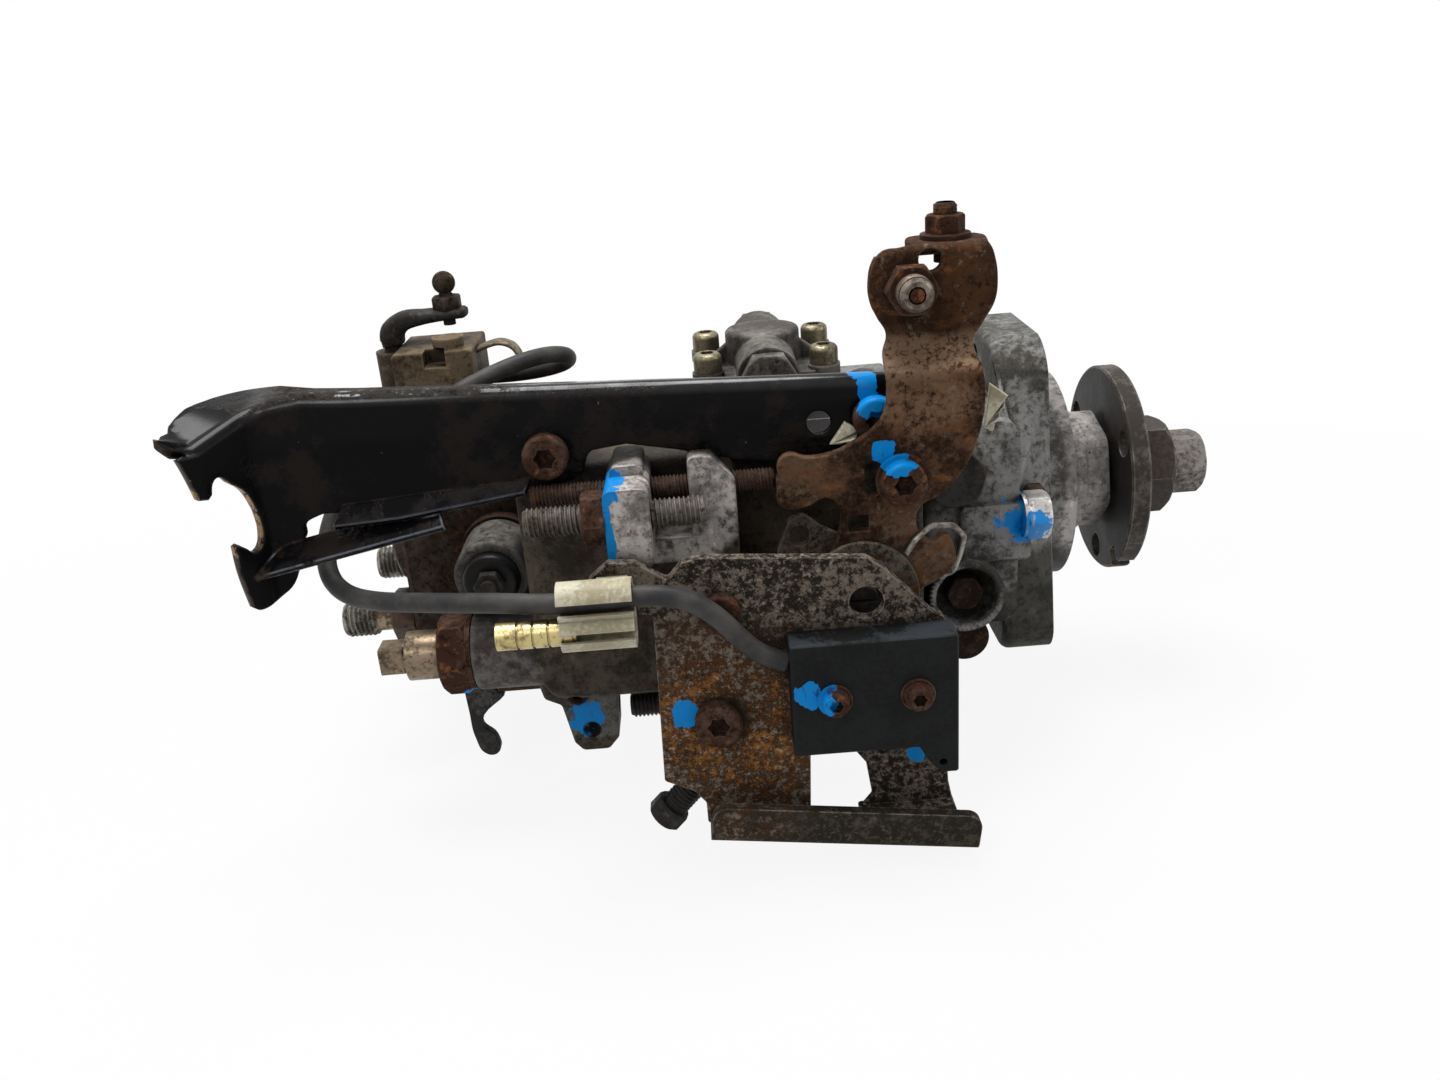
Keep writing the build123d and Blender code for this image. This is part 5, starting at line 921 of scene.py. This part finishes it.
# Delivery unions: four on a ring in the end plate, with rusty hexagons, bronze-coloured necks and grey threaded ends,
# each with a conical mouth.
union = Finish("union_steel", 0.3)
rounded, edge = union.corner(0.0004)
film, fine = union.noises((0.005, 6, 0.7), (0.0008, 4, 0.72, 0.4))
grime = union.blots(film, fine, 0.6, 0.44, 0.58)
nut = union.mix((0.05, 0.03, 0.02), (0.022, 0.013, 0.009), grime)
neck = union.mix((0.3, 0.23, 0.15), (0.1, 0.065, 0.04), grime)
thread = union.mix((0.3, 0.285, 0.25), (0.075, 0.06, 0.045), grime)
outward = union.along((-1, 0, 0))
colour = union.coats(
    nut,
    (neck, union.step(outward, 212.6, 213.4)),
    (thread, union.step(outward, 218.6, 219.2)),
    # Painted shade: the mouths and corners are darkened to near black.
    ((0.006, 0.005, 0.004), union.shade_and_grime_in_hollows(0.002) * 0.85),
)
union.bump(fine, 0.0001, rounded)
union_steel = union.base(colour, 0.45 + 0.3 * grime, 0.6 - 0.4 * grime)
union_ring = 34
union_rows = [
    (0.1, 8, 7.7), (0.6, 9.1, 8), (7.4, 9.1, 8), (8, 8.2, 7.7), (8.05, 4.6), (13.6, 4.6), (14, 4.9),
    (14.7, 5.9, 0, 0.5), (15.2, 6, 0, 0.8), (23.8, 6, 0, 0.8), (24.4, 5.8, 0, 0.4), (24.9, 5.1), (24.85, 4.5),
    (22.5, 2.05), (16, 2),
]
for k in range(4):
    turn = math.radians(45 + 90 * k)
    place = (-205, union_ring * math.cos(turn), union_ring * math.sin(turn))
    turned("union_%d" % (k + 1), place, (-1, 0, 0), union_rows, union_steel, pitch=1.5, turns=48)
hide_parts("delivery_unions")


# Valve lever: a round black bar that rises from the spindle, bends over and ends in an eye under the ball stud, which
# has a hexagon and an 8 mm ball.
def bar(name, route, widths, heights, material, body, turns=20):
    """Round-cornered bar along a route of points in millimetres, Catmull-Rom between them: at each point its section
    is |x / half width| ** 3 + |z / half height| ** 3 = 1."""
    route = np.array(route, dtype=float)
    padded = np.concatenate([2 * route[:1] - route[1:2], route, 2 * route[-1:] - route[-2:-1]])
    points, shares = [], []
    for k in range(len(route) - 1):
        a, b, c, d = padded[k:k + 4]
        for t in np.linspace(0, 1, 8, endpoint=k == len(route) - 2):
            bend = (2 * a - 5 * b + 4 * c - d) * t ** 2 + (3 * b - a - 3 * c + d) * t ** 3
            points.append(0.5 * (2 * b + (c - a) * t + bend))
            shares.append(k + t)
    points = np.array(points)
    ahead = np.gradient(points, axis=0)
    ahead /= np.linalg.norm(ahead, axis=1)[:, None]
    across = np.tile(np.array([0, 1, 0]), (len(points), 1))
    above = np.cross(ahead, across)
    angle = np.linspace(0, 2 * math.pi, turns, endpoint=False)
    x = np.sign(np.cos(angle)) * np.abs(np.cos(angle)) ** (2 / 3)
    z = np.sign(np.sin(angle)) * np.abs(np.sin(angle)) ** (2 / 3)
    rounding = np.ones(len(points))
    rounding[[0, -1]] = 0.72
    width = np.interp(shares, range(len(route)), widths) / 2 * rounding
    height = np.interp(shares, range(len(route)), heights) / 2 * rounding
    rings = points[:, None] + (width[:, None] * x)[..., None] * across[:, None]
    rings = rings + (height[:, None] * z)[..., None] * above[:, None]
    return tube(name, rings, material, body, 50)


black_bar = bloomed_steel(
    "black_bar", (0.02, 0.018, 0.016), (0.01, 0.008, 0.007), (0.06, 0.04, 0.026), shine=0.45, specular=0.3
)
valve_bar = bar(
    "valve_lever_bar",
    [
        (-206.5, 6, 46.5), (-206.5, 6, 59.8), (-206.5, 6, 61.2), (-205.6, 6, 64.6), (-201.5, 6, 67.4),
        (-195, 6, 68.2), (-188, 6, 68.6), (-181, 6, 68.8),
    ],
    [5.6, 5.8, 9, 10, 9.6, 9, 10, 8.6],
    [5.6, 5.8, 7.6, 7.6, 6.2, 4.6, 3.8, 3.4],
    black_bar,
    "load_lever",
)
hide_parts("valve_lever")
ball_radius, ball_height = 3.7, 8.6
ball_steel = bloomed_steel(
    "ball_steel", (0.055, 0.045, 0.036), (0.03, 0.02, 0.014), (0.12, 0.075, 0.045), share=0.48
)
ball_rows = [
    (-5, 1.9), (-4.9, 2), (0, 2), (0.05, 4.5, 4), (0.5, 4.9, 4.25), (3.9, 4.9, 4.25), (4.4, 4.5, 4),
    (4.45, 2.4), (5.4, 2),
]
for a in np.linspace(math.radians(33), math.radians(177), 14):
    ball_rows.append((ball_height - ball_radius * math.cos(a), ball_radius * math.sin(a)))
turned("ball_stud", (-187, 6, 70), (0, 0, 1), ball_rows, ball_steel, "load_lever", turns=48)

# Side bolt: a bright hexagon on the end of the shoulder's pad, dabbed with blue. Behind the switch bracket a black
# threaded stud with a hexagonal end leans down, and another stands out of the cover's lower pad.
side_silver = machined(
    "side_silver", (0.46, 0.44, 0.42), (0.2, 0.185, 0.17), 0.56, 0.36, spots=[((-13, -62, 4.5), (5.2, 12, 5.6))]
)
turned("side_bolt", (-14.6, -55.5, 6.8), (1, 0, 0), [
    (0, 6.6), (1, 6.6), (1.05, 7, 6.2), (1.5, 7.4, 6.5), (7.2, 7.4, 6.5), (7.9, 6.6, 6.3), (7.9, 1),
], side_silver, turns=60)
turned("leaning_stud", (-112, -95.5, -46), (-0.69, 0, -0.724), [
    (0, 3.6), (0.5, 4, 0, 0.6), (15.8, 4, 0, 0.6), (16.4, 3.2), (16.5, 5), (17.2, 5.4, 5), (21.4, 5.4, 5),
    (22, 4.6), (22, 1),
], black_bar, pitch=1.25, turns=60)
turned("pad_stud", (-126.5, -59, -44.9), (-1, 0, 0), [
    (0, 3.5), (0.1, 3.95, 0, 0.6), (8.8, 3.95, 0, 0.6), (9.6, 3), (9.6, 1),
], black_bar, pitch=1.25, turns=60)

# Stop lever: a flat black steel blade that hangs from its cross shaft behind the adjuster, narrow below and scraped
# bright, with a touch of blue at its top.
blade_front = -45.7
stop_blade = blank("stop_blade", [[
    (-190.4, -38.1), (-184.1, -38.7), (-179, -44.2), (-177.5, -44.3, 1), (-186.1, -54.8, 1), (-182.1, -60.8, 1),
    (-182.3, -66.4, 1), (-186.2, -66.8, 1), (-189.2, -60.1, 1), (-189.8, -50.7),
]], 3.4, 0.5)
bent(stop_blade, lambda across, height, through: (across, blade_front + through, height))
blade_steel = machined(
    "blade_steel", (0.06, 0.056, 0.05), (0.014, 0.012, 0.011), 0.47, 0.42,
    spots=[((-180.5, -45, -33), (3, 6, 2.2))],
)
stop_lever_blade = made("stop_lever_blade", [stop_blade], blade_steel, "stop")
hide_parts("stop_lever")
turned("stop_shaft", (-187, -42, -38), (1, 0, 0), [
    (0, 2), (0.1, 3.4), (0.6, 4), (24.4, 4), (24.5, 2),
], blade_steel, "stop", turns=40)

# Tie ends: two snipped ends of a cream nylon strap, left on the shoulder and beside the top bolt. Each is a thin
# sheet that stands at its level, moved by the ripple times the sine of 1.9 times the height.
tie_nylon = moulded("tie_nylon", (0.6, 0.55, 0.42), (0.36, 0.31, 0.2), 0.45, 0.00012)
tie_thickness, ripple = 1.6, 0.8
tie_sheets = []
for level, outline in (
    (-60, [(-25.3, 49.3), (-20.2, 45.4), (-21.5, 41.7, 1), (-24.6, 34.9), (-26.9, 36.3)]),
    (-80, [(-73.1, 41.3), (-68.8, 47.1), (-64.9, 44.8), (-66, 42.7, 1), (-70, 41)]),
):
    snip = blank("tie_end", [outline], tie_thickness, 0.3)
    tie_sheets.append(bent(snip, lambda x, z, depth: (x, level + depth + ripple * np.sin(z * 1.9), z)))
made("tie_ends", tie_sheets, tie_nylon, "pump")

# Valve clip: a flat zinc-plated spring strap, 7 by 1.7 mm, bent into a rounded loop on the block's right end.
clip_route = [
    (-179.4, 0, 56.9), (-174.9, 0, 58.6), (-170.6, 0, 59.3), (-166.9, 0, 57.9), (-165, 0, 55.1), (-164.7, 0, 52.1),
    (-166.7, 0, 50.2), (-172, 0, 49.6), (-177.2, 0, 49.7), (-181.7, 0, 50.1),
]
clip_zinc = machined("clip_zinc", (0.22, 0.18, 0.125), (0.095, 0.072, 0.048), 0.45, 0.45)
clip_loop = bar("spring_clip_loop", clip_route, [7] * 10, [1.7] * 10, clip_zinc, "pump")
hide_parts("spring_clip")

# Lever stud and tab stud: the threaded ends of the two studs that are screwed through the throttle lever, one to the
# front with a turned nose and one upwards through the tab.
stud_steel = machined("stud_steel", (0.19, 0.16, 0.13), (0.08, 0.055, 0.042), 0.5, 0.4)
turned("lever_stud_thread", (-51.4, -82, 82), (0, -1, 0), [
    (5.3, 3), (5.5, 4.5), (6, 4.62, 0, 0.3), (9.6, 4.62, 0, 0.35), (10.2, 4.3), (11, 3.4), (11, 1.8),
    (10.6, 1.6),
], stud_steel, "throttle", turns=48)
turned("tab_stud_thread", (-40.5, -73, 92.5), (0, 0, 1), [
    (5.9, 2.5), (6, 3.05, 0, 0.3), (6.4, 3.1, 0, 0.45), (8.4, 3.1, 0, 0.45), (9, 2.3), (9, 1),
], ball_steel, "throttle", turns=48)


# Floor and sky: a pale board under the pump, out of the way of its lowest edge, that takes the shadow and goes white
# far out, and a white room that lights the pump only weakly.
floor_level = solids_box[0][2] - 0.0005
floor_mesh = bpy.data.meshes.new("floor")
floor_mesh.from_pydata([(x, y, floor_level) for x, y in ((-4, -4), (4, -4), (4, 4), (-4, 4))], [], [(0, 1, 2, 3)])
floor = added("floor", floor_mesh)


def looked_at(tree):
    """1 on rays that come from the camera, a mirror or glass, 0 on those that only carry light."""
    path = tree.nodes.new("ShaderNodeLightPath")
    seen = path.outputs["Is Camera Ray"]
    for kind in ("Is Glossy Ray", "Is Transmission Ray"):
        either = tree.nodes.new("ShaderNodeMath")
        either.operation = "MAXIMUM"
        tree.links.new(seen, either.inputs[0])
        tree.links.new(path.outputs[kind], either.inputs[1])
        seen = either.outputs[0]
    return seen


def blended(tree, share, one, two, output):
    """The share of shader two over shader one, into the output node."""
    mixer = tree.nodes.new("ShaderNodeMixShader")
    for source, socket in zip((share, one, two, mixer.outputs[0]), (*mixer.inputs, tree.nodes[output].inputs[0])):
        tree.links.new(source, socket)


board = Finish("pale_board", 0.1)
board.base((0.62, 0.62, 0.62), 0.9)
far = board.step(board.away((-100, -20, floor_level * 1000), (620, 420, 1000)), 0.45, 1)
white = Value(board, looked_at(board.tree)) * (0.9 + 0.1 * far)
glow = board.node("Emission", {}, (1, 1, 1, 1), 1)
blended(board.tree, white.socket, board.shader.outputs[0], glow.socket, "Material Output")
floor_mesh.materials.append(board.material)

world = bpy.data.worlds.new("sky")
world.use_nodes = True
bpy.context.scene.world = world
sky_tree = world.node_tree
plain = sky_tree.nodes["Background"]
plain.inputs["Color"].default_value = (0.82, 0.86, 0.92, 1)
plain.inputs["Strength"].default_value = 0.3
bright = sky_tree.nodes.new("ShaderNodeBackground")
bright.inputs["Color"].default_value = (1, 1, 1, 1)
blended(sky_tree, looked_at(sky_tree), plain.outputs[0], bright.outputs[0], "World Output")
